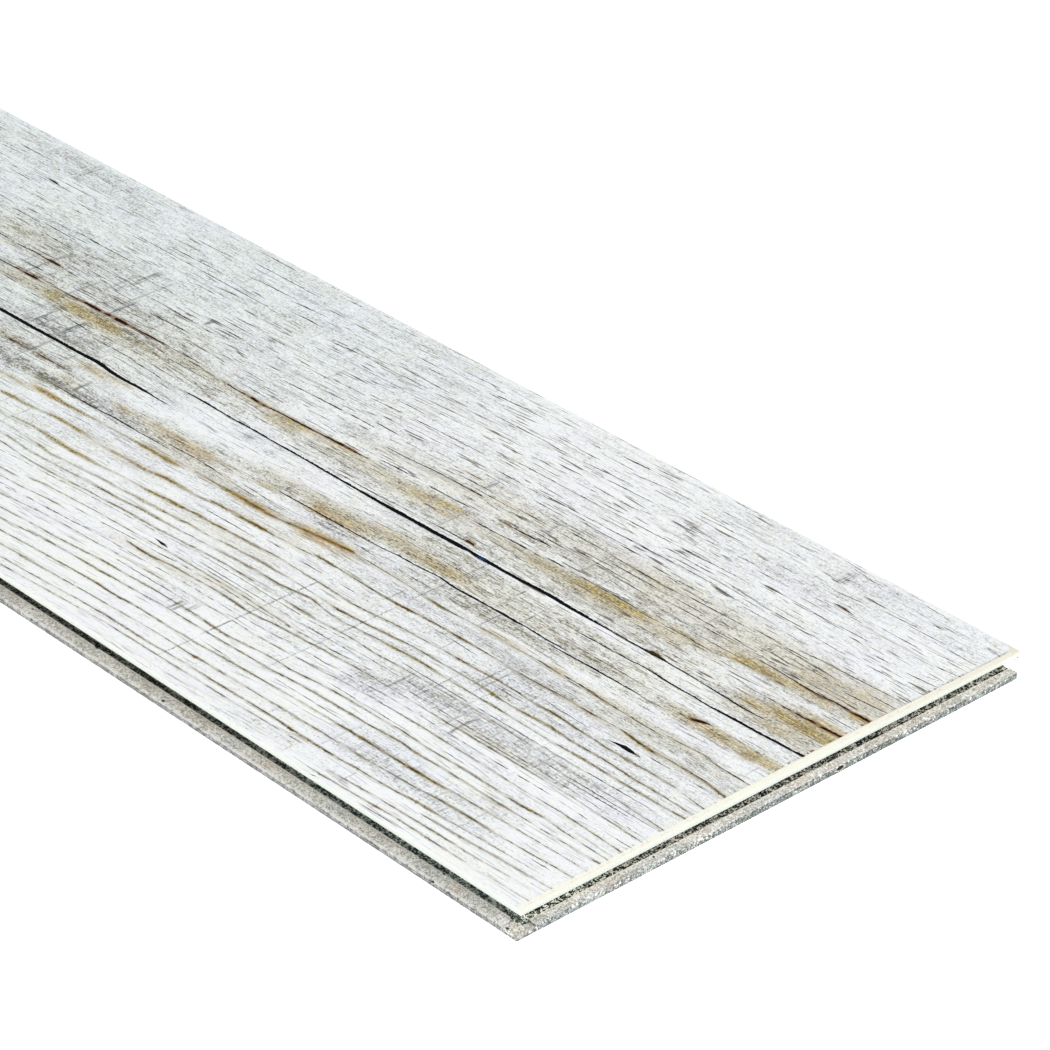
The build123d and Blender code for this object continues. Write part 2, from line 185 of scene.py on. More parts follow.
# Growth lines of the lower half: (x, y, boldness).
GROWTH = [
    [(296, -19.0, .3), (308, -18.8, .45), (314, -17.0, .8), (320, -16.9, 1.1), (327, -16.8, .7), (333, -16.6, .6),
     (342, -15.8, .35), (350, -15.7, .15), (362, -15.2, .55), (370, -15.2, .6), (375, -15.0, 1.0), (379, -14.6, .6),
     (385, -13.2, .55), (395, -13.2, .4), (402, -12.9, .9), (410, -12.9, 1.2), (419, -12.9, 1.2), (422, -12.6, .5),
     (428, -11.5, .7), (432, -11.0, 1.1), (441, -9.8, 1.2), (449, -8.7, 1.1), (453, -8.8, .5), (460, -8.8, .2),
     (472, -8.9, .12), (480, -9.3, .15), (485, -9.5, .7), (490, -9.6, .5), (495, -9.2, .15), (503, -8.8, .4),
     (509, -8.3, .55), (515, -8.8, .2), (527, -8.2, .2), (531, -8.5, .8), (535, -8.6, .4), (541, -8.3, .2),
     (549, -8.6, .6), (555, -8.8, .4), (560, -9.0, .1), (575, -9.0, .1), (580, -7.9, .2), (588, -7.2, .3),
     (596, -8.0, .15), (608, -8.2, .15)],
    [(308, -26.2, .45), (314, -25.7, .75), (320, -25.5, .7), (325, -24.7, .2), (329, -24.2, .45), (334, -23.6, .75),
     (340, -23.6, .95), (346, -23.5, .6), (352, -24.2, .1), (360, -23.8, .6), (366, -23.5, .6), (374, -23.4, .65),
     (381, -22.0, .95), (387, -21.7, .75), (395, -21.9, .35), (399, -21.2, .4), (402, -20.3, .85), (410, -19.7, .8),
     (415, -19.9, .75), (420, -19.5, 1.0), (429, -19.3, .6), (433, -18.9, .3), (437, -18.8, .25), (442, -18.2, .4),
     (445, -17.5, .7), (450, -17.5, .85), (454, -17.4, .2), (461, -17.5, .6), (468, -17.7, .65), (475, -17.6, .7),
     (482, -17.4, .85), (487, -16.9, .5), (493, -16.5, .7), (498, -16.4, .55), (503.5, -16.3, .75), (510, -16.2, .45),
     (519, -16.2, .45), (526, -16.3, .4), (531, -16.2, .35), (541, -15.6, .6), (547, -15.5, .5), (553.5, -15.4, .85),
     (557, -15.4, .6), (560, -15.2, .1), (566, -14.9, .1), (568, -15.0, .8), (572, -15.6, .9), (579, -16.0, .95),
     (584, -15.5, .5), (591, -15.5, .6), (598, -15.6, .75), (603, -16.3, .7), (608, -16.9, .75)],
    [(319, -33.4, .25), (331, -32.0, .3), (339, -32.2, .75), (346, -32.4, .8), (351, -32.4, .85), (355, -32.1, .6),
     (359, -31.8, .8), (363, -31.6, .3), (370, -30.8, .15), (380, -30.2, .25), (384, -30.2, .65), (391, -29.3, .75),
     (397, -29.0, .85), (401, -28.4, .3), (404, -28.1, .85), (408, -28.0, .3), (411, -27.9, .6), (414, -27.7, .85),
     (418, -27.5, .3), (422, -27.1, .6), (429, -26.8, .7), (435, -26.2, .75), (440, -26.0, .3), (449, -26.2, .35),
     (457, -26.2, .5), (463, -26.3, .7), (470, -26.6, .6), (476, -26.2, .5), (480, -25.8, .5), (485, -25.0, .4),
     (492, -24.6, .5), (500, -24.2, .5), (507, -23.8, .6), (511, -23.7, .8), (519, -23.4, .55), (526, -22.9, .6),
     (534, -22.9, .65), (542, -23.2, .5), (549, -22.7, .6), (556, -23.2, .5), (565, -23.3, .45), (569, -23.7, .55),
     (574, -23.5, .6), (579, -23.4, .85), (585, -23.1, .5), (596, -23.1, .35), (600, -23.8, .3), (608, -24.5, .5)],
    [(325, -37.0, .4), (335, -37.2, .35), (343, -37.4, .5), (347.5, -38.2, .4), (354, -37.3, .35), (362, -36.6, .45),
     (366, -36.0, .4), (373, -35.7, .4), (380, -35.3, .4), (384, -34.8, .5), (390, -34.5, .8), (396.5, -34.0, .75),
     (399, -34.0, .25), (406, -33.1, .6), (409, -33.1, .4), (417, -32.9, .25), (424, -31.9, .45), (429, -31.7, .3),
     (433, -31.2, .6), (438, -31.1, .75), (444, -31.1, .4), (449, -30.9, .2), (460, -31.0, .1), (466, -31.2, .3),
     (471, -31.5, .6), (477, -30.9, .7), (483, -30.4, .5), (487, -29.9, .6), (493, -29.3, .5), (498, -28.6, .5),
     (506, -28.5, .5), (513, -28.3, .3), (521, -28.1, .35), (528, -28.1, .5), (532, -28.5, .75), (536, -28.6, .1),
     (541, -28.5, .5), (547, -28.1, .55), (553, -27.8, .75), (561, -28.3, .6), (571, -27.9, .5), (578, -28.0, .7),
     (584, -28.3, .45), (596, -28.1, .5), (608, -28.6, .5)],
    [(328, -41.1, .3), (335, -41.1, .45), (342, -41.6, .4), (349, -41.3, .3), (360, -40.5, .3), (370, -39.8, .35),
     (376, -39.4, .6), (382, -39.1, .4), (393, -37.9, .5), (403, -37.5, .45), (410, -37.1, .5), (414, -36.7, .2),
     (418, -36.5, .3), (425, -35.9, .6), (432, -35.4, .45), (437.5, -35.2, .65), (442, -35.0, .8), (450, -35.0, .5),
     (455, -34.0, .4), (461, -33.2, .6), (464.5, -33.6, .6), (470, -34.5, .2), (476, -34.6, .3), (483, -33.8, .4),
     (489, -33.2, .45), (495, -32.9, .5), (502, -32.3, .55), (509, -32.2, .55), (518, -32.5, .35), (524, -32.3, .8),
     (528, -32.3, .4), (534, -32.2, .6), (542, -32.2, .45), (549, -32.3, .35), (554, -32.3, .4), (564, -31.9, .5),
     (570, -31.7, .55), (583, -31.7, .35), (590, -31.6, .5), (600, -31.4, .35), (608, -30.9, .45)],
    [(334, -44.3, .3), (345, -44.9, .3), (354, -44.7, .35), (364, -43.9, .3), (374, -42.9, .4), (380, -42.7, .4),
     (387, -42.0, .45), (395, -41.8, .4), (404, -41.4, .35), (413.5, -40.5, .45), (421, -39.8, .45), (426, -39.5, .3),
     (432, -39.2, .25), (438, -39.2, .45), (448, -39.2, .2), (456, -39.1, .4), (462, -39.2, .75), (468, -39.2, .7),
     (471, -39.2, .35), (477, -38.6, .5), (483, -38.2, .35), (496, -38.5, .3), (503, -37.8, .4), (511, -37.5, .3),
     (519, -37.4, .2), (534, -36.9, .2), (560, -37.6, .2), (590, -38.0, .2), (608, -38.6, .2)],
    [(345, -46.6, .25), (358, -45.8, .3), (370, -44.6, .3), (385, -43.7, .35), (395, -43.1, .35), (403, -42.7, .3),
     (410, -42.0, .3), (421, -41.2, .25), (441, -40.8, .25), (449, -40.9, .4), (459, -40.9, .4), (470, -40.9, .3),
     (480, -40.0, .3), (488, -39.2, .25)],
    [(344, -53.5, .25), (350.5, -53.2, .3), (356.6, -50.9, .5), (360.5, -50.1, .45), (370, -49.3, .25),
     (385, -48.2, .2), (400, -47.6, .2), (415, -46.9, .25), (430, -46.5, .25), (449, -46.2, .3), (462, -46.6, .3),
     (470, -46.7, .2), (480, -46.2, .25), (492, -45.8, .2)],
    [(350, -56.2, .25), (360, -55.5, .35), (364, -54.8, .25), (373, -53.9, .3), (379, -51.5, .3), (383, -51.2, .4),
     (391, -50.8, .4), (397, -50.2, .35), (403, -49.7, .3), (415, -49.3, .35), (422, -48.5, .6), (428, -48.3, .85),
     (434, -48.0, .6), (440, -47.7, .45), (445, -47.7, .7), (450, -47.7, .55), (455, -47.8, .1), (462, -47.5, .5),
     (466.5, -47.0, .7), (472, -47.2, .7), (476, -46.8, .2), (488, -45.7, .4), (493, -45.2, .5), (498, -44.8, .7),
     (507, -44.4, .4), (514, -43.9, .35), (519, -43.9, .05), (526, -43.8, .15), (529, -43.8, .4), (536, -43.8, .6),
     (546, -43.7, .6), (554, -43.7, .6), (564, -43.5, .4), (572, -43.6, .2), (579, -43.8, .4), (585, -43.8, .15),
     (600, -44.5, .25), (608, -44.6, .2)],
    [(354, -58.5, .25), (370, -57.6, .25), (385, -56.6, .3), (398, -54.0, .15), (404, -51.8, .3), (409, -52.0, .8),
     (414, -52.0, .85), (417, -51.5, .5), (421, -50.8, .3), (427.5, -50.5, .4), (438, -50.0, .3), (446, -50.0, .6),
     (451, -50.2, .5), (457, -50.2, .4), (462, -49.6, .5), (465, -49.0, .3), (470, -48.8, .5), (477, -48.3, .4),
     (482, -47.7, .5), (488, -47.5, .4), (494, -46.9, .3), (502, -46.6, .1), (527, -46.5, .1), (533, -46.5, .6),
     (537, -46.3, .7), (545, -46.3, .65), (554, -46.0, .55), (565, -45.8, .3), (580, -45.6, .25), (608, -46.3, .25)],
    [(372, -57.3, .3), (380, -56.8, .25), (387, -56.3, .3), (395, -55.5, .25), (404, -55.2, .35), (413, -55.0, .35),
     (421, -54.4, .3), (429, -54.0, .3), (438, -53.7, .3), (449, -53.5, .25), (460, -53.1, .25), (470, -52.5, .25),
     (473, -51.9, .5), (480, -51.8, .5), (486, -51.5, .6), (492, -51.4, .4), (498, -50.7, .3), (508, -50.2, .3),
     (515, -49.7, .2), (520, -49.6, .1), (527, -49.4, .55), (534, -49.6, .5), (543, -49.5, .3), (554, -49.4, .45),
     (562, -49.2, .7), (566, -49.2, .6), (570, -49.0, .35), (580, -49.2, .3), (587, -49.4, .5), (598, -50.0, .35),
     (608, -50.0, .45)],
    [(372, -60.4, .2), (380, -59.6, .3), (389, -59.2, .2), (398, -58.8, .25), (404, -58.3, .3), (413, -57.8, .35),
     (426, -57.3, .3), (436, -56.9, .3), (449, -56.5, .25), (459, -56.3, .2), (468, -56.3, .2), (480, -55.5, .3),
     (486, -55.0, .3), (492, -54.8, .25), (498, -53.9, .2), (512, -53.2, .1), (530, -52.7, .35), (542, -52.7, .4),
     (553, -52.5, .25), (569, -52.9, .3), (575, -52.5, .25), (584, -52.3, .3), (596, -52.7, .3), (608, -53.1, .25)],
    [(372, -66.3, .3), (381, -65.5, .15), (387, -65.4, .35), (393, -64.8, .45), (403, -63.8, .4), (409, -63.2, .5),
     (415, -63.2, .55), (424, -62.5, .5), (432, -62.2, .3), (440, -62.1, .35), (449, -61.9, .3), (453, -62.3, .6),
     (460, -62.3, .6), (467, -61.7, .4), (473, -60.8, .4), (477, -60.5, .75), (480, -60.4, .4), (485, -60.5, .65),
     (492, -59.7, .6), (496, -59.1, .3), (500, -58.8, .35), (507, -58.5, .4), (519, -58.2, .3), (529, -57.7, .6),
     (538, -58.2, .45), (549, -57.8, .35), (562, -57.7, .4), (571, -57.8, .35), (576, -57.8, .8), (579, -57.5, .7),
     (583, -57.1, .3), (590, -57.7, .35), (600, -57.8, .35), (608, -58.0, .25)],
    [(380, -69.2, .3), (382, -68.6, .35), (390, -68.2, .45), (397, -67.7, .45), (404, -67.5, .4), (411, -67.3, .65),
     (417, -66.8, .5), (426, -66.4, .4), (433, -65.9, .35), (441, -65.5, .3), (449, -65.4, .45), (460, -65.2, .4),
     (470, -64.8, .35), (480, -64.5, .45), (484, -64.3, .7), (488, -63.7, .4), (497, -63.1, .45), (506, -62.7, .45),
     (515, -62.5, .6), (521, -62.3, .35), (527, -61.7, .65), (533, -61.4, .7), (539, -61.9, .55), (547, -61.5, .4),
     (554, -61.4, .45), (562, -61.5, .3), (573, -61.3, .5), (584, -61.2, .25), (596, -60.9, .3), (608, -60.5, .45)],
    [(372, -74.8, .4), (380, -74.2, .45), (387, -73.6, .35), (395, -73.1, .35), (404, -72.5, .3), (415, -71.9, .5),
     (420, -72.0, .8), (425, -71.9, .5), (434, -71.3, .4), (446, -71.2, .4), (458, -71.0, .3), (467, -70.2, .4),
     (475, -69.8, .5), (486, -69.2, .4), (492, -68.9, .4), (498, -68.6, .35), (506, -68.2, .45), (515, -68.1, .6),
     (523, -67.8, .7), (534, -67.7, .5), (543, -67.5, .7), (554, -67.2, .7), (559.5, -66.5, .25), (569.5, -66.3, .3),
     (579, -65.8, .25), (597, -65.2, .15), (608, -65.0, .25)],
    [(379, -79.1, .3), (387, -78.6, .4), (392, -78.5, .75), (396, -78.3, .4), (400, -78.1, .3), (409, -77.5, .35),
     (418, -76.9, .3), (429, -76.4, .3), (438, -75.9, .3), (449, -75.5, .2), (461, -75.5, .3), (464, -75.4, .65),
     (467, -75.2, .3), (475, -75.0, .5), (481, -74.8, .5), (492, -74.5, .55), (498, -74.2, .5), (509, -74.0, .5),
     (519, -73.7, .4), (531, -73.5, .45), (537, -73.1, .35), (549, -72.5, .3), (559, -71.5, .5), (572, -71.0, .5),
     (583, -70.8, .3), (590, -70.5, .35), (600, -69.8, .3), (608, -69.6, .2)],
    [(387, -83.1, .3), (398, -82.5, .35), (409, -81.7, .3), (418, -80.9, .3), (430, -80.4, .35), (440, -80.2, .45),
     (450, -80.2, .35), (455, -79.8, .4), (464, -79.4, .4), (478, -79.2, .5), (492, -78.8, .45), (500, -78.6, .45),
     (510, -78.8, .65), (520, -78.6, .55), (527, -78.5, .5), (534, -77.8, .45), (542, -77.7, .4), (549, -77.3, .35),
     (554, -76.6, .6), (562, -76.3, .65), (566, -76.0, .25), (580, -75.3, .2), (600, -74.4, .15)],
    [(560, -79.2, .2), (569.5, -78.8, .5), (579, -78.3, .55), (586, -77.7, .5), (595, -77.3, .4), (608, -76.6, .2)],
    [(390, -85.6, .3), (397, -85.2, .4), (410, -84.2, .3), (422, -83.5, .2), (435, -82.7, .2), (456, -82.4, .35),
     (470, -82.1, .3), (488, -81.9, .2), (503, -81.3, .2), (516, -81.0, .1)],
    [(529, -84.0, .25), (540, -83.1, .35), (549, -82.5, .35), (560, -82.2, .3), (569, -81.9, .5), (577, -81.8, .3),
     (584, -81.7, .3), (596, -80.9, .25), (608, -80.2, .2)],
    [(400, -88.3, .3), (412, -87.7, .3), (426, -87.1, .35), (440, -86.5, .35), (453, -86.0, .3), (468, -85.4, .3),
     (485, -85.2, .2), (505, -84.4, .2), (519, -84.6, .5), (524, -84.4, .4), (528, -84.2, .1)],
    [(526, -86.7, .2), (531, -86.5, .35), (542, -86.0, .3), (552, -85.4, .5), (557, -85.1, .35), (569.5, -85.0, .3),
     (584, -84.9, .25), (608, -84.2, .2)],
]
SMALL_LINES = [
    (415, 464, -43.8, -43.5, .25), (415, 450, -45.2, -44.9, .22), (470, 492, -43.4, -42.7, .22),
    (503, 560, -36.1, -35.5, .45), (556, 600, -35.6, -34.5, .35), (405, 440, -60.2, -59.4, .15),
    (488, 520, -41.4, -41.0, .2), (560, 607, -40.3, -39.8, .2), (570, 600, -41.6, -41.0, .22),
    (537, 563, -45.1, -44.7, .35), (498, 530, -57.0, -56.7, .2), (487, 515, -66.3, -66.0, .15),
    (460, 470, -69.0, -68.9, .3), (400, 425, -24.6, -24.0, .15), (413, 420, -24.1, -24.3, .35),
    (429, 437, -22.3, -22.2, .25), (443, 453, -22.7, -22.4, .3), (461, 468, -22.4, -22.2, .3),
    (497, 512, -18.4, -18.8, .3), (541, 559, -20.2, -20.6, .15), (527, 545, -25.4, -25.2, .3),
    (594, 604, -71.8, -71.5, .3), (463, 466, -78.0, -77.8, .3), (547, 560, -87.6, -87.4, .2),
    (597, 605, -18.2, -18.3, .25), (520, 531, -89.6, -88.0, .15), (541, 552, -55.9, -56.0, .15),
]

# Fine checks of the upper half: x0, x1, y0, y1, width.
FINE = [
    (332, 339, 88.2, 88.3, .35), (300, 304, 88.8, 88.8, .3), (300, 323, 82.8, 82.7, .3), (448, 454, 82.6, 82.7, .4),
    (420, 426, 77.2, 77.4, .45), (438, 445, 78.0, 78.0, .35), (449, 457, 77.7, 77.8, .35), (411, 415, 73.7, 73.7, .35),
    (418, 440, 73.0, 73.7, .35), (441, 448, 73.4, 73.4, .3), (376, 398, 72.0, 72.1, .3), (364, 382, 68.2, 68.5, .25),
    (380, 391, 68.8, 69.1, .45), (410, 419, 69.2, 69.4, .3), (348, 356, 66.8, 67.2, .35), (355, 361, 67.6, 68.0, .4),
    (300, 318, 66.8, 66.8, .35), (382, 386, 63.2, 63.2, .35), (373, 385, 79.9, 80.0, .25), (380, 391, 77.5, 77.8, .3),
    (434, 460, 59.0, 59.8, .35), (370, 392, 51.8, 53.2, .35), (391, 416, 53.3, 54.6, .4), (414, 431, 54.4, 55.3, .35),
    (368, 374, 49.3, 49.3, .35), (442, 453, 51.7, 51.9, .35), (421, 427, 52.6, 52.8, .35), (320, 331, 47.4, 47.6, .45),
    (339, 341.5, 47.1, 46.9, .45), (372, 380, 45.6, 45.9, .35), (409, 416, 46.7, 46.7, .4), (421, 429, 46.1, 46.1, .4),
    (398, 408, 44.2, 44.2, .45), (360, 372, 40.4, 41.0, .4), (371, 392, 41.0, 41.9, .4), (389, 399, 41.9, 41.8, .4),
    (300, 320, 37.6, 38.2, .5), (472, 483, 86.5, 87.3, .4), (461, 485, 84.5, 85.3, .3), (500, 510, 90.2, 90.3, .35),
    (510, 517, 88.7, 88.3, .35), (505, 507.5, 79.4, 79.8, .4), (507, 515, 77.8, 77.8, .35), (455, 475, 73.6, 75.0, .35),
    (460, 488, 71.5, 72.4, .3), (455, 480, 59.4, 60.0, .35), (479, 505, 60.1, 60.8, .3), (500, 530, 60.8, 61.6, .35),
    (458, 495, 52.4, 53.0, .35), (490, 515, 53.0, 53.7, .45), (515, 530, 54.0, 54.0, .35), (455, 466, 51.7, 51.8, .3),
    (497, 503.5, 49.4, 49.5, .45), (461, 475, 48.0, 48.3, .3), (511, 517, 48.2, 48.2, .35), (519, 523.5, 47.5, 46.9, .4),
    (554, 567, 45.9, 46.0, .5), (529, 552, 44.3, 45.0, .45), (507, 519, 43.2, 43.4, .35), (480, 498, 43.8, 43.9, .35),
    (571, 578, 47.4, 48.2, .35), (577, 607, 47.9, 49.2, .3), (585, 607, 55.4, 55.8, .4), (597, 607, 60.4, 61.3, .45),
    (600, 605, 62.6, 64.0, .3), (584, 590, 60.5, 60.5, .35), (562, 570, 80.2, 80.2, .4), (584, 588, 83.5, 83.5, .4),
    (555, 564, 76.4, 77.5, .3), (573, 590, 71.8, 71.8, .3), (527, 530, 73.8, 73.8, .45), (535, 538.5, 74.7, 74.9, .45),
    (532, 539, 68.2, 68.2, .35), (523, 531, 69.8, 69.9, .3), (549, 551.5, 85.4, 85.4, .5), (551, 553.5, 82.8, 83.2, .5),
    (549, 552, 80.2, 80.2, .45), (533, 536, 82.4, 82.0, .35), (514, 525, 57.7, 57.7, .3), (540, 546, 48.3, 48.3, .35),
    (566, 576, 44.8, 44.9, .35), (598, 607, 45.4, 45.6, .4), (528, 541, 41.0, 41.0, .3), (500, 524, 40.9, 40.8, .32),
    (498, 520, 43.7, 43.5, .42), (478, 484, 34.5, 34.3, .6), (466, 471, 38.5, 38.5, .35), (560, 574, 40.4, 40.6, .3),
    (541, 556, 36.4, 36.6, .3), (560, 580, 37.4, 37.8, .3), (486, 500, 35.6, 35.8, .35), (505, 522, 36.6, 36.4, .3),
    (574, 590, 42.4, 42.7, .3), (583, 600, 39.0, 39.2, .28), (462, 478, 41.4, 41.7, .35), (470, 486, 44.8, 45.0, .3),
    (520, 534, 46.0, 46.1, .25), (436, 452, 42.0, 42.4, .3), (444, 462, 40.2, 40.4, .32), (486, 500, 47.0, 47.3, .28),
    (592, 607, 41.2, 42.3, .5), (550, 560, 58.4, 58.1, .25), (533, 539, 57.0, 56.8, .3), (533, 538, 53.2, 53.0, .35),
    (545, 562, 56.0, 55.8, .3), (577, 582, 43.4, 43.2, .3), (571, 588, 44.6, 44.2, .3), (543, 549, 41.8, 41.8, .25),
    (589, 597, 57.8, 57.8, .25), (536, 545, 64.1, 64.1, .3), (556, 565, 63.9, 63.8, .35), (566, 580, 64.0, 64.4, .25),
    (187, 198, 65.6, 65.8, .35), (196, 202, 69.5, 69.7, .4), (206, 214, 70.0, 70.1, .3), (217, 231, 66.8, 66.8, .3),
    (208, 216, 76.4, 76.6, .35), (237, 243, 54.1, 54.2, .45), (244, 253, 54.0, 54.1, .65), (252, 268, 54.2, 54.4, .35),
    (213, 219.5, 52.7, 53.0, .5), (224, 234, 53.1, 53.3, .35), (224, 242.5, 50.4, 50.2, .5), (210, 224, 49.6, 49.4, .35),
    (268, 288, 50.4, 50.3, .2), (255, 278, 66.7, 66.8, .3), (278, 302, 66.7, 66.9, .4), (260, 284, 79.0, 79.5, .3),
    (293, 311, 82.7, 82.8, .35), (224, 245, 34.1, 33.9, .25), (245, 251.5, 34.1, 34.3, .3), (255, 264.5, 35.5, 35.5, .3),
    (269, 297, 35.0, 34.7, .3), (238, 248, 37.4, 37.6, .3), (298, 311, 37.0, 38.0, .4), (236, 246, 41.4, 41.3, .35),
    (289, 311, 43.7, 43.8, .3), (260, 271, 41.0, 41.0, .3), (185, 205, 52.0, 51.8, .3), (215, 228, 46.0, 46.2, .35),
    (226, 246, 46.0, 45.6, .35), (241, 258, 44.0, 43.6, .3), (262, 285, 44.6, 44.9, .25), (280, 292, 70.3, 70.6, .35),
    (266, 283, 70.0, 70.2, .3), (207, 216, 60.4, 60.1, .3), (224, 228, 63.0, 63.2, .3), (250, 262, 58.9, 59.2, .2),
    (235, 252, 76.3, 76.5, .25), (262, 276, 74.5, 74.7, .2), (287, 305, 88.8, 88.9, .35), (200, 222, 72.6, 73.0, .2),
    (560, 568, 50.8, 50.6, .25), (540, 556, 51.9, 51.6, .2), (480, 498, 49.8, 50.2, .25), (466, 474, 49.4, 49.6, .35),
    (470, 490, 46.2, 46.0, .25), (484, 492, 56.0, 56.0, .2), (455, 470, 55.4, 55.0, .25), (476, 486, 51.2, 51.2, .3),
    (462, 474, 64.0, 64.4, .3), (470, 480, 62.8, 63.2, .2), (400, 414, 61.6, 62.2, .25), (390, 402, 57.8, 58.2, .25),
    (432, 441, 62.9, 63.1, .3), (437, 446, 57.8, 57.9, .35), (404, 412, 80.6, 80.9, .2), (390, 404, 84.2, 85.2, .3),
    (402, 405, 84.8, 84.6, .5), (408, 416, 81.6, 82.0, .4), (414, 428, 82.0, 82.6, .35), (344, 356, 79.3, 79.7, .3),
    (333, 340, 79.7, 79.8, .3), (302, 320, 75.9, 76.3, .35), (321, 335, 74.8, 76.0, .35), (325, 341, 70.2, 70.7, .3),
    (330, 338, 66.4, 66.5, .25), (300, 308, 64.2, 64.3, .3), (318, 330, 55.0, 55.8, .3), (334, 344, 54.6, 54.8, .25),
    (316, 331, 51.4, 51.7, .4), (350, 360, 51.9, 51.9, .3), (346, 353, 48.0, 48.3, .3), (340, 346, 39.6, 40.4, .35),
    (315, 322, 43.0, 43.4, .4), (328, 335, 42.0, 42.3, .35), (335, 340, 41.4, 40.8, .35), (347, 356, 42.9, 43.2, .25),
    (300, 312, 43.3, 43.5, .4), (362, 386, 62.5, 63.3, .2), (366, 376, 57.6, 57.8, .2), (365, 370, 55.0, 55.0, .3),
    (520, 531, 47.9, 48.2, .3), (500, 518, 68.9, 69.2, .3), (471, 486, 79.6, 81.6, .2), (463, 470, 80.8, 81.0, .25),
    (460, 469, 84.2, 84.5, .3), (500, 512, 83.8, 84.0, .2), (520, 527, 83.6, 84.1, .2), (515, 535, 80.2, 81.2, .2),
    (573, 583, 78.6, 79.3, .25), (580, 596, 78.2, 78.6, .25), (590, 606, 77.2, 77.0, .3), (575, 582, 89.2, 88.9, .3),
    (550, 558, 88.6, 87.6, .3), (600, 607, 68.6, 69.4, .35), (592, 604, 73.0, 74.0, .2), (556, 574, 70.0, 69.6, .2),
]

# Marks across the grain.
for x, y0, y1, w, s in (
        (455.5, -24, -46, .35, .75), (455.6, -46, -68, .4, .8), (456.2, -68, -83, .35, .6), (480.2, -18, -40, .3, .75),
        (480.4, -40, -64, .25, .45), (439.6, -59, -66, 2.2, .55), (436.0, -60, -64, 1.2, .3), (443.5, -57, -64, 1.0, .35),
        (475.0, -10, -18, .35, .6), (446.2, -36, -48, .3, .25), (523.6, -16, -31, .5, .55), (526.4, -17, -33, .4, .5),
        (530.0, -22, -40, .35, .3), (533.5, -15, -26, 1.8, .4), (537.0, -37, -51, .9, .5), (533.0, -38, -50, .6, .35),
        (509.2, -35, -49, .6, .5), (517.6, -28, -39, .5, .4), (545.8, -36, -48, .35, .3), (504.2, -16, -26, .4, .35),
        (585.8, -24, -38, .3, .3), (594.0, -20, -26, .3, .25), (498.0, -74, -78, .35, .45), (514.6, -80, -88, .35, .35),
        (535.4, -77, -87, .35, .3), (550.0, -81, -88, .3, .25), (454.2, 33, 16, .3, .45), (479.8, 22, 2, .3, .65),
        (479.8, 3, -15, .3, .55), (474.5, 7, -16, .35, .6), (476.6, 0, -5, .4, .55), (463.2, 26, 12, .25, .2),
        (451.6, -1, -8, .4, .3), (497.4, 14, 8, .5, .7), (508.6, 46, 22, .35, .4), (508.5, 22, 6, .25, .35),
        (508.8, 7, 2, .5, .75), (499.6, 45, 30, .4, .45), (504.6, 44, 32, .3, .35), (502.2, 2, -10, .4, .5),
        (542.5, 50, 37, .35, .4), (540.6, 13, 1, .3, .25), (523.8, 30, 23, .3, .4), (473.6, 24, 20, .5, .4),
        (531.0, 10, 0, .3, .2), (550.2, 9, 1, .3, .2), (602.6, 0, -6, .4, .35), (597.0, 7, 0, .3, .3),
        (270.4, 40, 20, .7, .5), (271.5, 20, 8, .6, .35), (277.2, 20, 6, .7, .55), (281.2, 18, 5, .4, .45),
        (289.4, 40, 22, 1.4, .5), (290.0, 20, 6, 1.8, .6), (296.0, 18, 10, .6, .3), (285.0, 24, 20, .3, .3),
        (306.2, 38, 26, .4, .3), (311.0, 13, 6, .3, .35), (292.2, 6, -10, .8, .45), (283.0, 0, -9, .6, .4),
        (304.6, 5, -1, .5, .5), (321.6, -2, -11, 1.0, .45), (317.5, -5, -14, .6, .3), (351.5, -5, -12, .3, .35),
        (316.8, 26, 18, .8, .4), (312.8, -22, -31, .4, .35), (322.6, -24, -38, .4, .4), (331.0, -34, -40, .3, .25),
        (249.0, 44, 22, .9, .45), (242.6, 40, 28, .6, .35), (256.0, 40, 26, .5, .3), (268.4, 38, 28, 1.0, .45),
        (278.4, 60, 38, 1.4, .4), (275.5, 52, 36, 1.0, .3), (287.0, 56, 34, .7, .35), (291.0, 38, 18, .5, .3),
        (300.4, 86, 70, .6, .25), (315.0, 50, 44, 2.0, .45), (336.6, 56, 52, .6, .4), (343.0, 72, 60, .5, .2),
        (503.6, 78, 62, .6, .25), (484.0, 50, 42, .4, .35), (477.5, 46, 36, 1.2, .3), (551.4, 88, 78, 2.4, .35),
        (428.0, 62, 56, .5, .3), (441.0, 82, 74, .3, .2), (447.0, 50, 40, 1.6, .35), (607.0, 90, 20, .4, .3),
        (366.5, 60, 52, .8, .25), (345.0, 86, 76, .4, .2), (357.0, 72, 64, 1.4, .25), (416.0, 14, 8, .3, .2),
        (390.8, 16, 8, .3, .2), (563.5, -33, -42, .35, .25), (571.5, -64, -80, .5, .25), (519.0, -62, -80, .5, .2)):
    scratch(x, y0, y1, w, s)

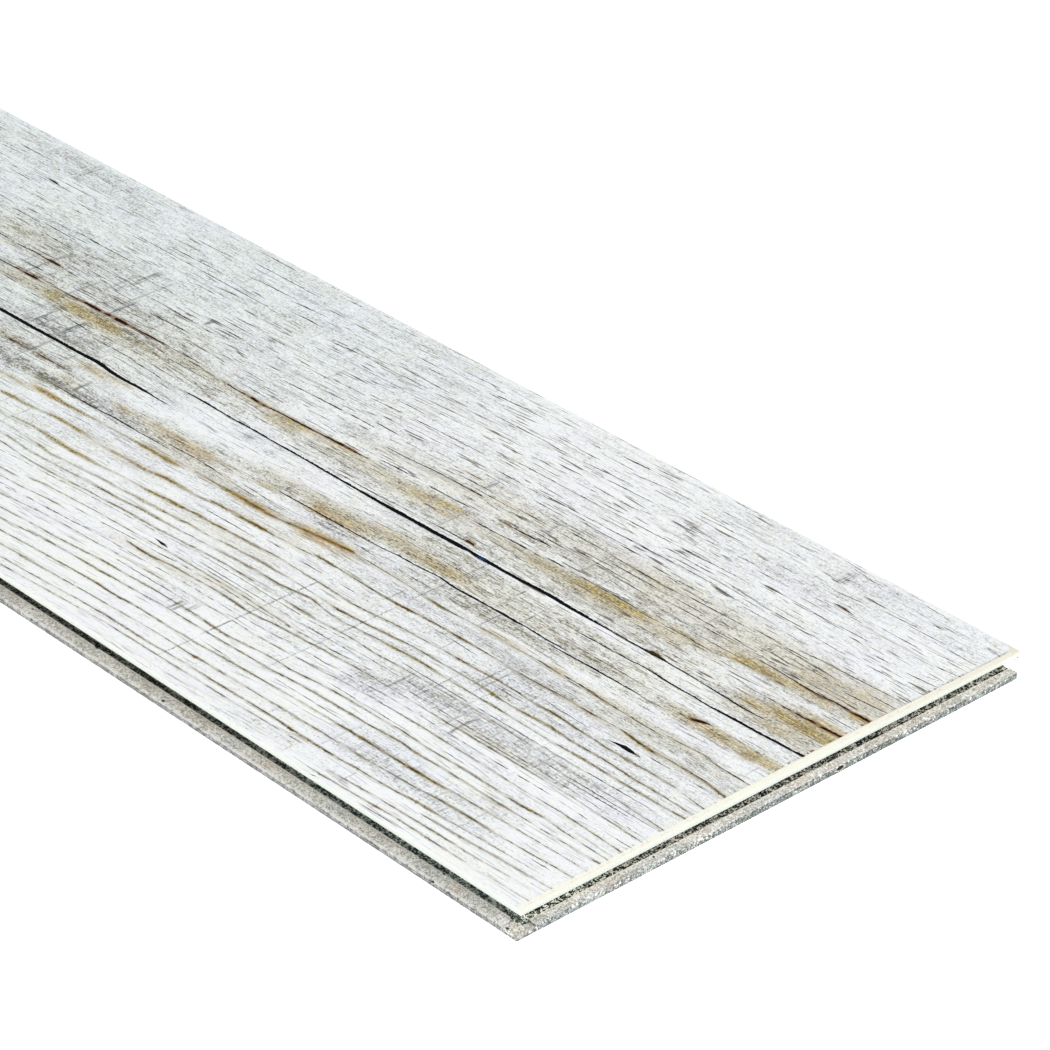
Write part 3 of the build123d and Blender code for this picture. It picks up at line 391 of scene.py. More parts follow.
# Stains and washes.
for kind, x0, x1, y0, y1, s in (
        ("ochre", 265, 272, 19.5, 25.5, .75), ("ochre", 274, 289, 20.3, 24.2, 1.0), ("ochre", 287, 303, 20.5, 24.6, .95),
        ("ochre", 308, 322, 21.3, 23.4, .4), ("ochre", 262, 303, 18.5, 25.8, .3), ("ochre", 244, 262, 20, 23, .12),
        ("ochre", 310, 322, .6, 4.0, .6), ("ochre", 321, 334, 2.6, 4.6, .45), ("ochre", 304, 330, -1, 4.5, .12),
        ("ochre", 370, 388, 21.0, 26.5, .55), ("ochre", 372, 392, 24.3, 26.6, .4), ("ochre", 388, 411, 26.0, 28.4, .4),
        ("rust", 338, 344, -7.2, -5.2, .6), ("ochre", 333, 346, -7.6, -4.6, .4), ("ochre", 310, 321, -8.2, -6.4, .5),
        ("rust", 364, 372, -6.4, -3.6, .4), ("ochre", 356, 380, -7.5, -3.0, .35), ("rust", 345, 362, -6.4, -3.8, .3),
        ("ochre", 438, 455, 26.8, 29.6, .85), ("rust", 434.5, 440.5, 24.4, 26.8, .6), ("rust", 446, 453, 23.0, 25.2, .4),
        ("ochre", 425, 458, 22, 29, .3), ("rust", 421, 431, -2.6, 2.2, .85), ("rust", 429, 443, -1.6, 1.6, .75),
        ("ochre", 418, 447, -3.4, 3.0, .45), ("ochre", 440, 456, 2.0, 8.0, .35), ("ochre", 466, 482, 2.4, 5.2, .6),
        ("ochre", 452, 486, 1.2, 6.4, .35), ("ochre", 399, 411, -4.4, -1.6, .45), ("rust", 371, 384, -8.0, -3.2, .5),
        ("rust", 400, 421, -14.2, -11.2, .95), ("ochre", 398, 424, -15.0, -10.5, .4), ("ochre", 423, 432, -13, -9.6, .55),
        ("rust", 429, 443, -13.6, -8.4, .75), ("rust", 440, 451, -10.8, -7.2, .85), ("ochre", 426, 454, -13.4, -6.8, .5),
        ("ochre", 455, 475, -10, -7.6, .3), ("ochre", 482, 492, -10.4, -8.8, .5), ("ochre", 484, 500, 23.8, 28.2, .4),
        ("ochre", 499, 531, 25.6, 29.5, 1.0), ("ochre", 498, 534, 22.6, 29.4, .45), ("ochre", 533, 548, 24.0, 26.6, .45),
        ("ochre", 538, 548, 28.6, 30.8, .55), ("ochre", 558, 580, 31.0, 34.2, .85), ("ochre", 553, 564, 29.8, 32.2, .5),
        ("ochre", 577, 598, 32.4, 35.2, .55), ("ochre", 598, 612, 32.8, 36.2, .8), ("ochre", 583, 608, 20.4, 24.2, .7),
        ("ochre", 597, 609, 19.4, 24.8, 1.0), ("ochre", 584, 613, 18.4, 25.4, .85), ("ochre", 573, 588, 17.2, 23.0, .4), ("ochre", 596, 612, .0, 4.6, .5), ("ochre", 588, 609, 20.0, 24.4, .5), ("rust", 592, 609, 25.2, 27.6, .6), ("ochre", 586, 609, 25.0, 28.4, .3),
        ("ochre", 576, 584, 17.4, 20.2, .5), ("ochre", 586, 598, 13.6, 17.6, .5), ("ochre", 570, 609, 12.4, 21, .28),
        ("ochre", 580, 590, .6, 3.6, .55), ("ochre", 594, 599, -1, 3.6, .5), ("ochre", 562, 604, -1.2, 4.6, .3),
        ("ochre", 502, 521, -9.8, -6.8, .45), ("rust", 530, 537, -9.6, -6.8, .6), ("ochre", 521, 600, -9.6, -6.4, .25),
        ("ochre", 436, 460, 44.6, 46.2, .3), ("ochre", 590, 607, 42.5, 50, .25), ("ochre", 578, 584, 46, 49, .3),
        ("rust", 452, 474, 40.6, 42.4, .35), ("ochre", 505, 520, 42.2, 44.6, .35), ("ochre", 518, 524, 40.5, 46, .2),
        ("rust", 566, 573, -63.6, -61.4, .35), ("ochre", 490, 512, -34, -31.4, .25), ("ochre", 533, 562, -45.6, -43.2, .3),
        ("ochre", 540, 560, -68.4, -66.6, .35), ("ochre", 340, 362, -33.4, -31.0, .45), ("ochre", 328, 346, -24.6, -22.6, .4),
        ("rust", 309, 324, -18.6, -15.6, .85), ("ochre", 296, 312, -20.4, -17.4, .35), ("rust", 326, 336, -17.6, -15.8, .4),
        ("rust", 371, 379, -16.6, -13.6, .7), ("ochre", 360, 372, -17.0, -13.6, .45), ("ochre", 376, 392, -23.2, -20.8, .5),
        ("ochre", 308, 322, -26.6, -24.4, .35), ("ochre", 408, 424, -20.6, -18.4, .35), ("ochre", 384, 400, -30.4, -28.2, .35),
        ("beige", 438, 566, 1.0, 13.5, .7), ("beige", 460, 482, 5, 14, .35), ("beige", 466, 530, -6.0, -.2, .5), ("lilac", 464, 532, -6.2, -.2, .4), ("beige", 264, 326, 6, 25, .3),
        ("beige", 522, 568, -3.6, .2, .5), ("beige", 372, 470, 17, 27, .2), ("beige", 262, 345, 18, 38, .4),
        ("beige", 470, 560, 17, 29, .45), ("beige", 292, 320, -13.4, -6.0, .4), ("beige", 348, 396, -10.6, -7.0, .75),
        ("beige", 262, 312, -6, 5, .4), ("beige", 340, 372, 16, 27, .35), ("beige", 392, 455, -4.6, 4.8, .45),
        ("beige", 340, 400, -8, -1.5, .45), ("beige", 518, 534, 30, 40, .6), ("beige", 455, 500, 19, 27, .3),
        ("beige", 500, 607, 38, 50, .22), ("beige", 440, 500, 36, 47, .25), ("beige", 240, 300, 26, 44, .15),
        ("beige", 570, 607, 12, 22, .25), ("beige", 560, 600, -1, 4.4, .35), ("beige", 555, 607, -12.8, -6, .3),
        ("ochre", 318, 400, 23.6, 28.2, .3), ("ochre", 395, 462, 22.5, 29.6, .28), ("ochre", 460, 500, 24.0, 29.0, .3),
        ("ochre", 526, 562, 26.5, 31.6, .4), ("ochre", 548, 609, 30.6, 36.4, .4), ("ochre", 400, 470, 33.0, 40.0, .16),
        ("ochre", 470, 609, 34.0, 50.0, .2), ("ochre", 574, 611, 36.5, 45.0, .5), ("ochre", 272, 345, 16.5, 22, .16),
        ("beige", 400, 607, 28, 44, .3), ("beige", 455, 490, 31, 38, .5), ("beige", 290, 330, 28, 42, .25),
        ("rust", 276, 292, -5.2, -2.6, .3), ("rust", 306, 330, -1.5, 3.0, .14), ("rust", 350, 394, -8.2, -3.8, .28),
        ("lilac", 296, 344, -13.0, -8.6, .5), ("lilac", 262, 300, -17, -8, .55), ("beige", 262, 330, -14, -2, .4),
        ("ochre", 360, 402, -15.2, -8.6, .25), ("ochre", 392, 484, 0.6, 6.4, .3), ("ochre", 470, 560, 1.0, 4.6, .14),
        ("ochre", 566, 609, 0.2, 4.4, .35), ("beige", 560, 609, -1.0, 4.8, .4), ("ochre", 540, 609, -17.4, -14.6, .3),
        ("ochre", 404, 446, -20.4, -16.2, .25), ("ochre", 392, 446, -32, -26, .16), ("ochre", 396, 436, -53.6, -50, .22),
        ("ochre", 424, 466, -49, -45, .25), ("ochre", 334, 384, -26, -21.6, .25), ("beige", 380, 470, 19, 30, .12),
        ("beige", 500, 580, 17, 26, .25), ("beige", 570, 609, 12, 28, .3), ("beige", 540, 609, -17, -6, .25),
        ("lilac", 504, 530, -50, -38, .5), ("lilac", 512, 572, -76, -62, .3), ("lilac", 518, 548, -34, -10, .3),
        ("lilac", 370, 396, 8.0, 13.8, .5), ("lilac", 490, 607, -46, -35.5, .65), ("lilac", 500, 607, -31, -14, .2), ("lilac", 494, 516, -54.5, -44.5, .95), ("white", 284, 322, -8.4, -5.4, .9),
        ("lilac", 514, 567, -76, -62.6, .75), ("lilac", 560, 585, -77, -62, .5), ("lilac", 484, 516, -87, -81, .5),
        ("lilac", 520, 545, -61.5, -57, .35), ("lilac", 530, 560, -56, -49, .4), ("lilac", 525, 545, -28, -14, .45),
        ("lilac", 536, 570, -27, -17, .3), ("lilac", 585, 607, -58, -50, .25), ("lilac", 455, 492, -46, -33, .35),
        ("lilac", 428, 448, -66, -52, .25), ("lilac", 504, 540, -86, -78, .3), ("lilac", 420, 447, -6.5, -3.5, .6),
        ("lilac", 290, 298, -15.4, -12.2, .95), ("lilac", 365, 440, -12, -9.6, .3), ("lilac", 480, 600, 62, 90, .22),
        ("lilac", 300, 420, 60, 90, .3), ("lilac", 220, 300, 40, 90, .2), ("lilac", 545, 607, 78, 90, .3),
        ("lilac", 455, 530, -15, -11, .35), ("lilac", 320, 350, -12, -6, .4), ("lilac", 488, 510, -22, -17, .2),
        ("white", 345, 386, 1.0, 12.5, 1.0), ("white", 372, 437, 5.0, 13.8, 1.0), ("white", 372, 424, 2.5, 9, .7),
        ("white", 326, 352, -3, 4, .5), ("white", 500, 575, 11.4, 15.6, .95), ("white", 558, 607, 4.4, 9.8, .6),
        ("white", 370, 392, 28.4, 41, .7), ("white", 545, 580, 18.5, 29, .45), ("white", 488, 575, -7.6, -4.6, .85),
        ("white", 566, 607, -6.6, -2.4, .6), ("white", 372, 440, -8.0, -5.4, .6), ("white", 514, 528, -56.5, -43.6, .95),
        ("white", 582.2, 587.6, -69, -41, 1.0), ("white", 529, 567, -57.2, -53.4, .85), ("white", 486, 515, -71, -55, .7),
        ("white", 544, 570, -66.4, -62.2, .75), ("white", 470, 500, -42, -33, .5), ("white", 536, 556, -20.6, -16.6, .5),
        ("white", 557, 567, -16.4, -13.4, .6), ("white", 531, 537, 25, 31, .7), ("white", 536, 541, -29.6, -26, .6),
        ("white", 372, 480, -75, -56, .45), ("white", 330, 420, -60, -26, .3), ("white", 567, 584, -52, -46, .3),
        ("white", 440, 470, 6, 13, .1), ("white", 590, 607, -75, -34, .45), ("white", 350, 382, 12, 14, .5),
        ("white", 310, 326, -4, 0, .5), ("white", 296, 345, -15.5, -13.2, .45), ("white", 560, 607, 27.6, 31.4, .45),
        ("white", 420, 470, 29, 44, .35), ("lilac", 268, 306, 6.6, 12.6, .6), ("white", 560, 607, 50, 76, .2)):
    stain(kind, x0, x1, y0, y1, s)

# The rest of the length repeats the same kinds of mark, jittered, as a seeded fill.
rng = np.random.default_rng(4711)
visible_strokes = list(STROKES)
visible_stains = list(STAINS)
visible_scratches = list(SCRATCHES)
visible_fine = list(FINE)
SHIFTS = (-352.0, -704.0, -1056.0)
for shift in SHIFTS:
    for s in visible_strokes:
        if s[-1][0] + shift < TOP_X0 + 2:
            continue
        dx, dy, k = shift + rng.uniform(-14, 14), rng.uniform(-1.6, 1.6), rng.uniform(0.6, 1.1)
        if max(p[2] for p in s) > 1.0:
            dy *= 0.3
            k = rng.uniform(0.7, 1.0)
        STROKES.append([(p[0] + dx, p[1] + dy, p[2] * k, p[3]) for p in s])
    for kind, x0, x1, y0, y1, k in visible_stains:
        dx, dy = shift + rng.uniform(-16, 16), rng.uniform(-2.0, 2.0)
        if kind in ("ochre", "rust") and x1 + dx > 216 and shift == SHIFTS[0]:
            k *= 0.25
        stain(kind, x0 + dx, x1 + dx, y0 + dy, y1 + dy, k * rng.uniform(0.5, 1.0))
    for x0, y0, x1, y1, w, s in visible_scratches:
        dx, dy = shift + rng.uniform(-20, 20), rng.uniform(-8, 8)
        SCRATCHES.append((x0 + dx, y0 + dy, x1 + dx, y1 + dy, w, s * rng.uniform(0.4, 1.0)))
for x0, x1, y0, y1, w in visible_fine:
    for shift in (-420.0, -840.0):
        dx, dy = shift + rng.uniform(-25, 25), rng.uniform(-3, 3)
        if y0 + dy < 88.5 and x0 + dx < 185:
            dash(x0 + dx, x1 + dx, y0 + dy, y1 + dy, w * rng.uniform(0.7, 1.1), 0.36)
for x0, x1, y0, y1, w in visible_fine:
    dash(x0, x1, y0, y1, w, 0.33 + 0.12 * math.sin(x0 * 1.7 + y0))
for x0, x1, y0, y1, b in SMALL_LINES:
    dash(x0, x1, y0, y1, 0.2 + 0.35 * b, 0.42)

# Growth lines run on over the rest of the length.
left_x = np.arange(-612.0, 400.0, 9.0)
common = 2.6 * np.sin(left_x / 61.0 + 0.8) + 3.4 * np.sin(left_x / 143.0 + 2.0) + 1.3 * np.sin(left_x / 29.0)
GROWTH_FULL = []
for k, line in enumerate(GROWTH):
    x_first, y_first = line[0][0], line[0][1]
    if x_first < 470:
        xs = left_x[left_x < x_first - 6]
        own = 0.8 * np.sin(xs / (33.0 + 3 * (k % 5)) + k) + 0.5 * np.sin(xs / 17.0 + 2.1 * k)
        own_end = 0.8 * math.sin(x_first / (33.0 + 3 * (k % 5)) + k) + 0.5 * math.sin(x_first / 17.0 + 2.1 * k)
        base = common[left_x < x_first - 6] - np.interp(x_first, left_x, common)
        fall = 0.055 * (x_first - xs) * np.exp(-(x_first - xs) / 130.0)
        ys = y_first + base + own - own_end - fall
        bold = 0.38 + 0.32 * np.sin(xs / 23.0 + 1.9 * k) * np.sin(xs / 71.0 + k) + rng.uniform(-0.14, 0.2, len(xs))
        extra = [(float(a), float(b), float(max(c, 0.1))) for a, b, c in zip(xs, ys, bold) if -89.5 < b < -7]
        line = extra + line
    GROWTH_FULL.append(line)
for k, line in enumerate(GROWTH_FULL):
    runs = [[line[0]]]
    for q, p in zip(line, line[1:]):
        if abs(p[1] - q[1]) > 0.22 * (p[0] - q[0]):
            runs[-1].append((q[0] + 2.5, q[1], 0.02))
            runs.append([(p[0] - 2.5, p[1], 0.02)])
        runs[-1].append(p)
    for run in runs:
        if len(run) < 3:
            continue
        stroke(0.47, *[(x, y, 0.12 + 0.30 * min(b, 1.0), 0.462 + 0.026 * min(b, 1.0)) for x, y, b in run])
        stroke(0.62, *[(x, y, 0.34 + 0.86 * min(b, 1.1), 0.60 + 0.13 * min(b, 1.0) + 0.25 * min(0.4, max(0.0, b - 0.75)))
                       for x, y, b in run])


# ------------------------------------------------------------ grid of the top
def track(points, width=None):
    p = sorted(points)
    return np.array([q[0] for q in p], float), np.array([q[1] for q in p], float)


TRACKS = [   # (points, groove line or None), from the tongue side down
    ([(-620, 60), (150, 60), (300, 60), (370, 61.5), (430, 64.5), (520, 66), (608, 66)], None),
    ([(-620, 44), (150, 44), (300, 44), (360, 44.5), (430, 47.5), (520, 48.6), (608, 48.8)], None),
    ([(-620, 24.5), (237, 25.2), (263, 26.5), (279, 26.7), (300, 27.4), (318, 28.2), (345, 26.6), (372, 26.8),
      (398, 28.0), (415, 28.7), (460, 27.8), (481, 28.5), (489, 29.4), (531, 29.7), (557, 29.5), (608, 29.5)], "seam"),
    ([(-620, 14.2), (253, 14.0), (300, 14.5)] + [(p[0], p[1]) for p in CRACK_B] + [(608, 16.4)], "B"),
    ([(-620, 4.6), (250, 4.6)] + [(p[0], p[1]) for p in CRACK_A] + [(430, 7.4)]
     + [(p[0], p[1]) for p in CRACK_D], "AD"),
    ([(-620, -4.6), (279, -5.0), (289, -4.5), (300, -4.2), (311, -3.8), (360, -3.4)]
     + [(p[0], p[1]) for p in CRACK_C] + [(532.6, -0.2), (543, 0.0), (557, 0.2), (608, 0.2)], "C"),
]


def smooth_step(a, b, v):
    t = np.clip((v - a) / (b - a), 0.0, 1.0)
    return t * t * (3 - 2 * t)


cols = np.concatenate([
    np.linspace(TOP_X0, TOP_X0 + 3.0, 3)[:-1],
    np.linspace(TOP_X0 + 3.0, 140.0, 108)[:-1],
    np.linspace(140.0, 603.0, 194)[:-1],
    np.linspace(603.0, TOP_X1, 9)])
n_cols = len(cols)
edge_hi = np.minimum(SIDE_Y1, SIDE_Y1 - CLIP_Y * (cols - (TOP_X1 - CLIP_X)) / CLIP_X)
edge_lo = np.full(n_cols, SIDE_Y0)


def groove_width(name):
    """Width of the open check along a track, 0 where there is none."""
    out = np.zeros(n_cols)
    lines = {"B": [CRACK_B], "AD": [CRACK_A, CRACK_D], "C": [CRACK_C, CRACK_C2], "seam": []}[name]
    for line in lines:
        xs = np.array([p[0] for p in line]); ws = np.array([p[2] for p in line])
        out = np.maximum(out, np.interp(cols, xs, ws, left=0.0, right=0.0))
    return out


row_y, row_z = [], []


def fill_rows(upper, lower, count):
    for i in range(1, count + 1):
        f = i / (count + 1.0)
        row_y.append(upper + (lower - upper) * f)
        row_z.append(np.zeros(n_cols))


row_y.append(edge_hi.copy()); row_z.append(np.zeros(n_cols))
previous = edge_hi
for points, name in TRACKS:
    xs, ys = track(points)
    centre = np.interp(cols, xs, ys)
    if name in ("B", "AD", "C"):
        w = groove_width(name)
        inner, outer = np.maximum(w * 0.3, 0.14), np.maximum(w * 0.5 + 0.22, 0.36)
        depth = 0.13 * smooth_step(0.1, 0.9, w)
        fill_rows(previous, centre + outer, max(2, int(round(np.mean(previous - centre) / 0.78))))
        for off, d in ((outer, 0), (inner, 1), (-inner, 1), (-outer, 0)):
            row_y.append(centre + off); row_z.append(-depth * d)
        previous = centre - outer
    else:
        fill_rows(previous, centre, max(2, int(round(np.mean(previous - centre) / 0.78))))
        row_y.append(centre); row_z.append(np.zeros(n_cols))
        previous = centre
drift_low = np.interp(cols, [-612, 300, 375, 431, 469, 512, 608], [-9.5, -9.5, -7.5, -3.6, -3.2, 0.0, 0.2])
growth_rows = [-9.0, -17.0, -24.0, -28.5, -32.0, -37.5, -41.0, -45.0, -49.5, -53.0, -58.0, -61.5, -67.0, -72.5, -78.0, -83.0]
for y_ref in growth_rows:
    k = np.clip((y_ref + 88.4) / 26.0, 0.0, 1.0)
    centre = y_ref + drift_low * k * smooth_step(-2.0, -24.0, np.full(n_cols, y_ref))
    gap = np.mean(previous - centre)
    fill_rows(previous, centre, max(1, int(round(gap / 0.78))))
    row_y.append(centre); row_z.append(np.zeros(n_cols))
    previous = centre
fill_rows(previous, edge_lo, max(1, int(round(np.mean(previous - edge_lo) / 0.78))))
row_y.append(edge_lo.copy()); row_z.append(np.zeros(n_cols))
Y = np.array(row_y)
Z = np.array(row_z)
n_rows = Y.shape[0]
X = np.broadcast_to(cols, Y.shape).copy()
if not (np.diff(Y, axis=0) < 0).all():
    bad = np.argwhere(np.diff(Y, axis=0) >= 0)
    print("rows cross near", [(round(float(cols[j]), 1), round(float(Y[i, j]), 2)) for i, j in bad[:6]])
print("decor grid", n_rows, "x", n_cols, "=", (n_rows - 1) * (n_cols - 1) * 2, "triangles")

# -------------------------------------------------- fields carried by the grid
FIELDS = 6
field_d = [np.full(Y.shape, 9.0) for _ in range(FIELDS)]
field_w = [np.full(Y.shape, -1.0) for _ in range(FIELDS)]
field_t = [np.full(Y.shape, 0.4) for _ in range(FIELDS)]
field_used = [np.zeros(Y.shape, bool) for _ in range(FIELDS)]
left_out = 0
for s in STROKES:
    px = np.array([p[0] for p in s]); py = np.array([p[1] for p in s])
    pw = np.array([p[2] for p in s]) * 0.5; pt = np.array([p[3] for p in s])
    order = np.argsort(px); px, py, pw, pt = px[order], py[order], pw[order], pt[order]
    j0 = max(0, np.searchsorted(cols, px[0]) - 1)
    j1 = min(n_cols, np.searchsorted(cols, px[-1]) + 1)
    if j1 - j0 < 2:
        continue
    cx = cols[j0:j1]
    yc = np.interp(cx, px, py); w = np.interp(cx, px, pw); t = np.interp(cx, px, pt)
    outside = (cx < px[0]) | (cx > px[-1])
    w = np.where(outside, -0.05, w)
    d = Y[:, j0:j1] - yc
    reach = max(pw.max(), 0.1) + 1.0
    zone = np.abs(d) <= reach + 0.9
    inner = np.abs(d) <= reach
    for f in range(FIELDS):
        if not field_used[f][:, j0:j1][zone].any():
            field_used[f][:, j0:j1] |= zone
            field_d[f][:, j0:j1] = np.where(zone, d, field_d[f][:, j0:j1])
            field_w[f][:, j0:j1] = np.where(inner, w, field_w[f][:, j0:j1])
            field_t[f][:, j0:j1] = np.where(zone, t, field_t[f][:, j0:j1])
            break
    else:
        left_out += 1
print("strokes", len(STROKES), "left out", left_out, "use", [round(float(u.mean()), 3) for u in field_used])

VFIELDS = 3
vert_d = [np.full(Y.shape, 9.0) for _ in range(VFIELDS)]
vert_w = [np.full(Y.shape, -1.0) for _ in range(VFIELDS)]
vert_s = [np.zeros(Y.shape) for _ in range(VFIELDS)]
vert_used = [np.zeros(Y.shape, bool) for _ in range(VFIELDS)]
v_left_out = 0
for x0, y0, x1, y1, w, s in SCRATCHES:
    if y1 < y0:
        x0, y0, x1, y1 = x1, y1, x0, y0
    span = (Y >= y0 - 1.0) & (Y <= y1 + 1.0)
    xc = x0 + (x1 - x0) * np.clip((Y - y0) / max(y1 - y0, 1e-3), 0, 1)
    step = np.interp(x0, [0, 139, 141], [7.0, 7.0, 2.4])
    d = X - xc
    reach = w * 0.5 + step + 0.4
    zone = span & (np.abs(d) <= reach + step)
    inner = span & (np.abs(d) <= reach)
    fade = np.clip(np.minimum(Y - y0, y1 - Y) / np.minimum(3.0, (y1 - y0) * 0.3), -0.2, 1.0)
    for f in range(VFIELDS):
        if not vert_used[f][zone].any():
            vert_used[f] |= zone
            vert_d[f] = np.where(zone, d, vert_d[f])
            vert_w[f] = np.where(inner, w * 0.5, vert_w[f])
            vert_s[f] = np.where(inner, s * np.clip(fade, 0, 1), vert_s[f])
            break
    else:
        v_left_out += 1
print("scratches", len(SCRATCHES), "left out", v_left_out)

washes = {k: np.zeros(Y.shape) for k in ("ochre", "rust", "beige", "lilac", "white")}
for kind, x0, x1, y0, y1, s in STAINS:
    mx, my = max((x1 - x0) * 0.28, 1.5), max((y1 - y0) * 0.3, 0.5)
    lean = 0.05 * np.clip((X - x0) / max(x1 - x0, 1.0) - 0.5, -0.6, 0.6) * min(x1 - x0, 40.0) * (
        smooth_step(360, 380, X) * (1 - smooth_step(500, 520, X)))
    a = smooth_step(x0 - mx * 0.5, x0 + mx, X) * (1 - smooth_step(x1 - mx, x1 + mx * 0.5, X))
    yy = Y - lean
    b = smooth_step(y0 - my * 0.5, y0 + my * 0.7, yy) * (1 - smooth_step(y1 - my * 0.7, y1 + my * 0.5, yy))
    m = a * b * s
    washes[kind] = 1 - (1 - washes[kind]) * (1 - np.clip(m, 0, 1))

# Grain direction: a coordinate across the grain that the fine noise follows.
drift_up = np.interp(X, [-612, 300, 345, 440, 530, 608], [0, 0, 0.8, 5.0, 6.4, 6.4])
drift_mid = np.interp(X, [-612, 230, 318, 345, 420, 530, 608], [0, 0, 2.4, 1.2, 2.6, 4.2, 5.2])
drift_lowf = np.interp(X, [-612, 300, 375, 431, 469, 512, 608], [0, 0, 2.4, 6.1, 6.5, 9.6, 9.8])
up_part = smooth_step(26, 44, Y)
low_part = smooth_step(-4, -20, Y)
wander = 1.1 * np.sin(X / 57.0 + 0.4) + 0.7 * np.sin(X / 23.0 + Y / 37.0)
flow = Y - (drift_up * up_part + drift_lowf * low_part + drift_mid * (1 - up_part - low_part)) - 0.35 * wander

# How busy each part of the face is: fine streaks, cool soft far end, worn zones.
streaky = (0.5 + 0.4 * smooth_step(30, 40, Y) * (1 - smooth_step(66, 84, Y)) * smooth_step(230, 330, X)
           + 0.25 * smooth_step(12, 16, Y) * (1 - smooth_step(30, 44, Y))
           - 0.16 * smooth_step(-12, -30, Y))
cool = 1 - smooth_step(230, 430, X + 0.35 * (0 - Y))
level = (0.11 * smooth_step(-12, -20, Y) + 0.07 * smooth_step(-38, -48, Y) + 0.06 * smooth_step(-50, -66, Y)
         + 0.08 * smooth_step(-74, -84, Y) + 0.05 * smooth_step(30, 40, Y) + 0.10 * smooth_step(50, 62, Y))

# ---------------------------------------------------------------- decor mesh
verts = np.stack([X, Y, TOP_Z + Z], -1).reshape(-1, 3)
index = np.arange(n_rows * n_cols).reshape(n_rows, n_cols)
a, b, c, d_ = index[:-1, :-1], index[1:, :-1], index[1:, 1:], index[:-1, 1:]
top_faces = np.stack([a, b, c, d_], -1).reshape(-1, 4)
base_hi = len(verts) + np.arange(n_cols)
base_lo = base_hi[-1] + 1 + np.arange(n_cols)
bottom_x = cols.copy()
bottom_x[0], bottom_x[-1] = FOOT_X0, FOOT_X1
bottom_hi = np.stack([bottom_x, edge_hi, np.full(n_cols, DECOR_Z)], -1)
bottom_lo = np.stack([bottom_x, edge_lo, np.full(n_cols, DECOR_Z)], -1)
end0 = base_lo[-1] + 1 + np.arange(n_rows - 2)
end1 = end0[-1] + 1 + np.arange(n_rows - 2)
bottom_e0 = np.stack([np.full(n_rows - 2, FOOT_X0), Y[1:-1, 0], np.full(n_rows - 2, DECOR_Z)], -1)
bottom_e1 = np.stack([np.full(n_rows - 2, FOOT_X1), Y[1:-1, -1], np.full(n_rows - 2, DECOR_Z)], -1)
all_verts = np.concatenate([verts, bottom_hi, bottom_lo, bottom_e0, bottom_e1])
faces = [tuple(int(v) for v in f) for f in top_faces]
for j in range(n_cols - 1):
    faces.append((int(index[0, j]), int(index[0, j + 1]), int(base_hi[j + 1]), int(base_hi[j])))
    faces.append((int(index[-1, j + 1]), int(index[-1, j]), int(base_lo[j]), int(base_lo[j + 1])))
chain0 = [int(base_hi[0])] + [int(v) for v in end0] + [int(base_lo[0])]
chain1 = [int(base_hi[-1])] + [int(v) for v in end1] + [int(base_lo[-1])]
for i in range(n_rows - 1):
    faces.append((int(index[i + 1, 0]), int(index[i, 0]), chain0[i], chain0[i + 1]))
    faces.append((int(index[i, -1]), int(index[i + 1, -1]), chain1[i + 1], chain1[i]))
for j in range(1, n_cols - 2):
    faces.append((int(base_lo[j]), int(base_hi[j]), int(base_hi[j + 1]), int(base_lo[j + 1])))
faces.append(tuple(chain0[::-1][:1] + chain0[::-1][1:] + [int(base_hi[1]), int(base_lo[1])]))
faces.append(tuple(chain1 + [int(base_lo[-2]), int(base_hi[-2])]))

mesh = bpy.data.meshes.new("printed_decor_mesh")
mesh.from_pydata((all_verts * MM).tolist(), [], faces)
mesh.validate(verbose=False)
mesh.update()
n_all = len(all_verts)
n_top = n_rows * n_cols


def vector_attribute(name, x, y, z):
    data = np.zeros((n_all, 3), np.float32)
    for k, v in enumerate((x, y, z)):
        data[:n_top, k] = v.reshape(-1)
    attribute = mesh.attributes.new(name, "FLOAT_VECTOR", "POINT")
    attribute.data.foreach_set("vector", data.reshape(-1))


for f in range(FIELDS):
    vector_attribute(f"mark_{f}", field_d[f], field_w[f], field_t[f])
for f in range(VFIELDS):
    vector_attribute(f"cross_{f}", vert_d[f], vert_w[f], vert_s[f])
vector_attribute("wash_a", washes["ochre"], washes["rust"], washes["beige"])
vector_attribute("wash_b", washes["lilac"], washes["white"], cool)
vector_attribute("grain", flow, streaky, level)
for poly in mesh.polygons:
    poly.use_smooth = False
decor = bpy.data.objects.new("printed_decor", mesh)
scene.collection.objects.link(decor)
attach(decor, "root")
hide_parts("decor_wear_layer")


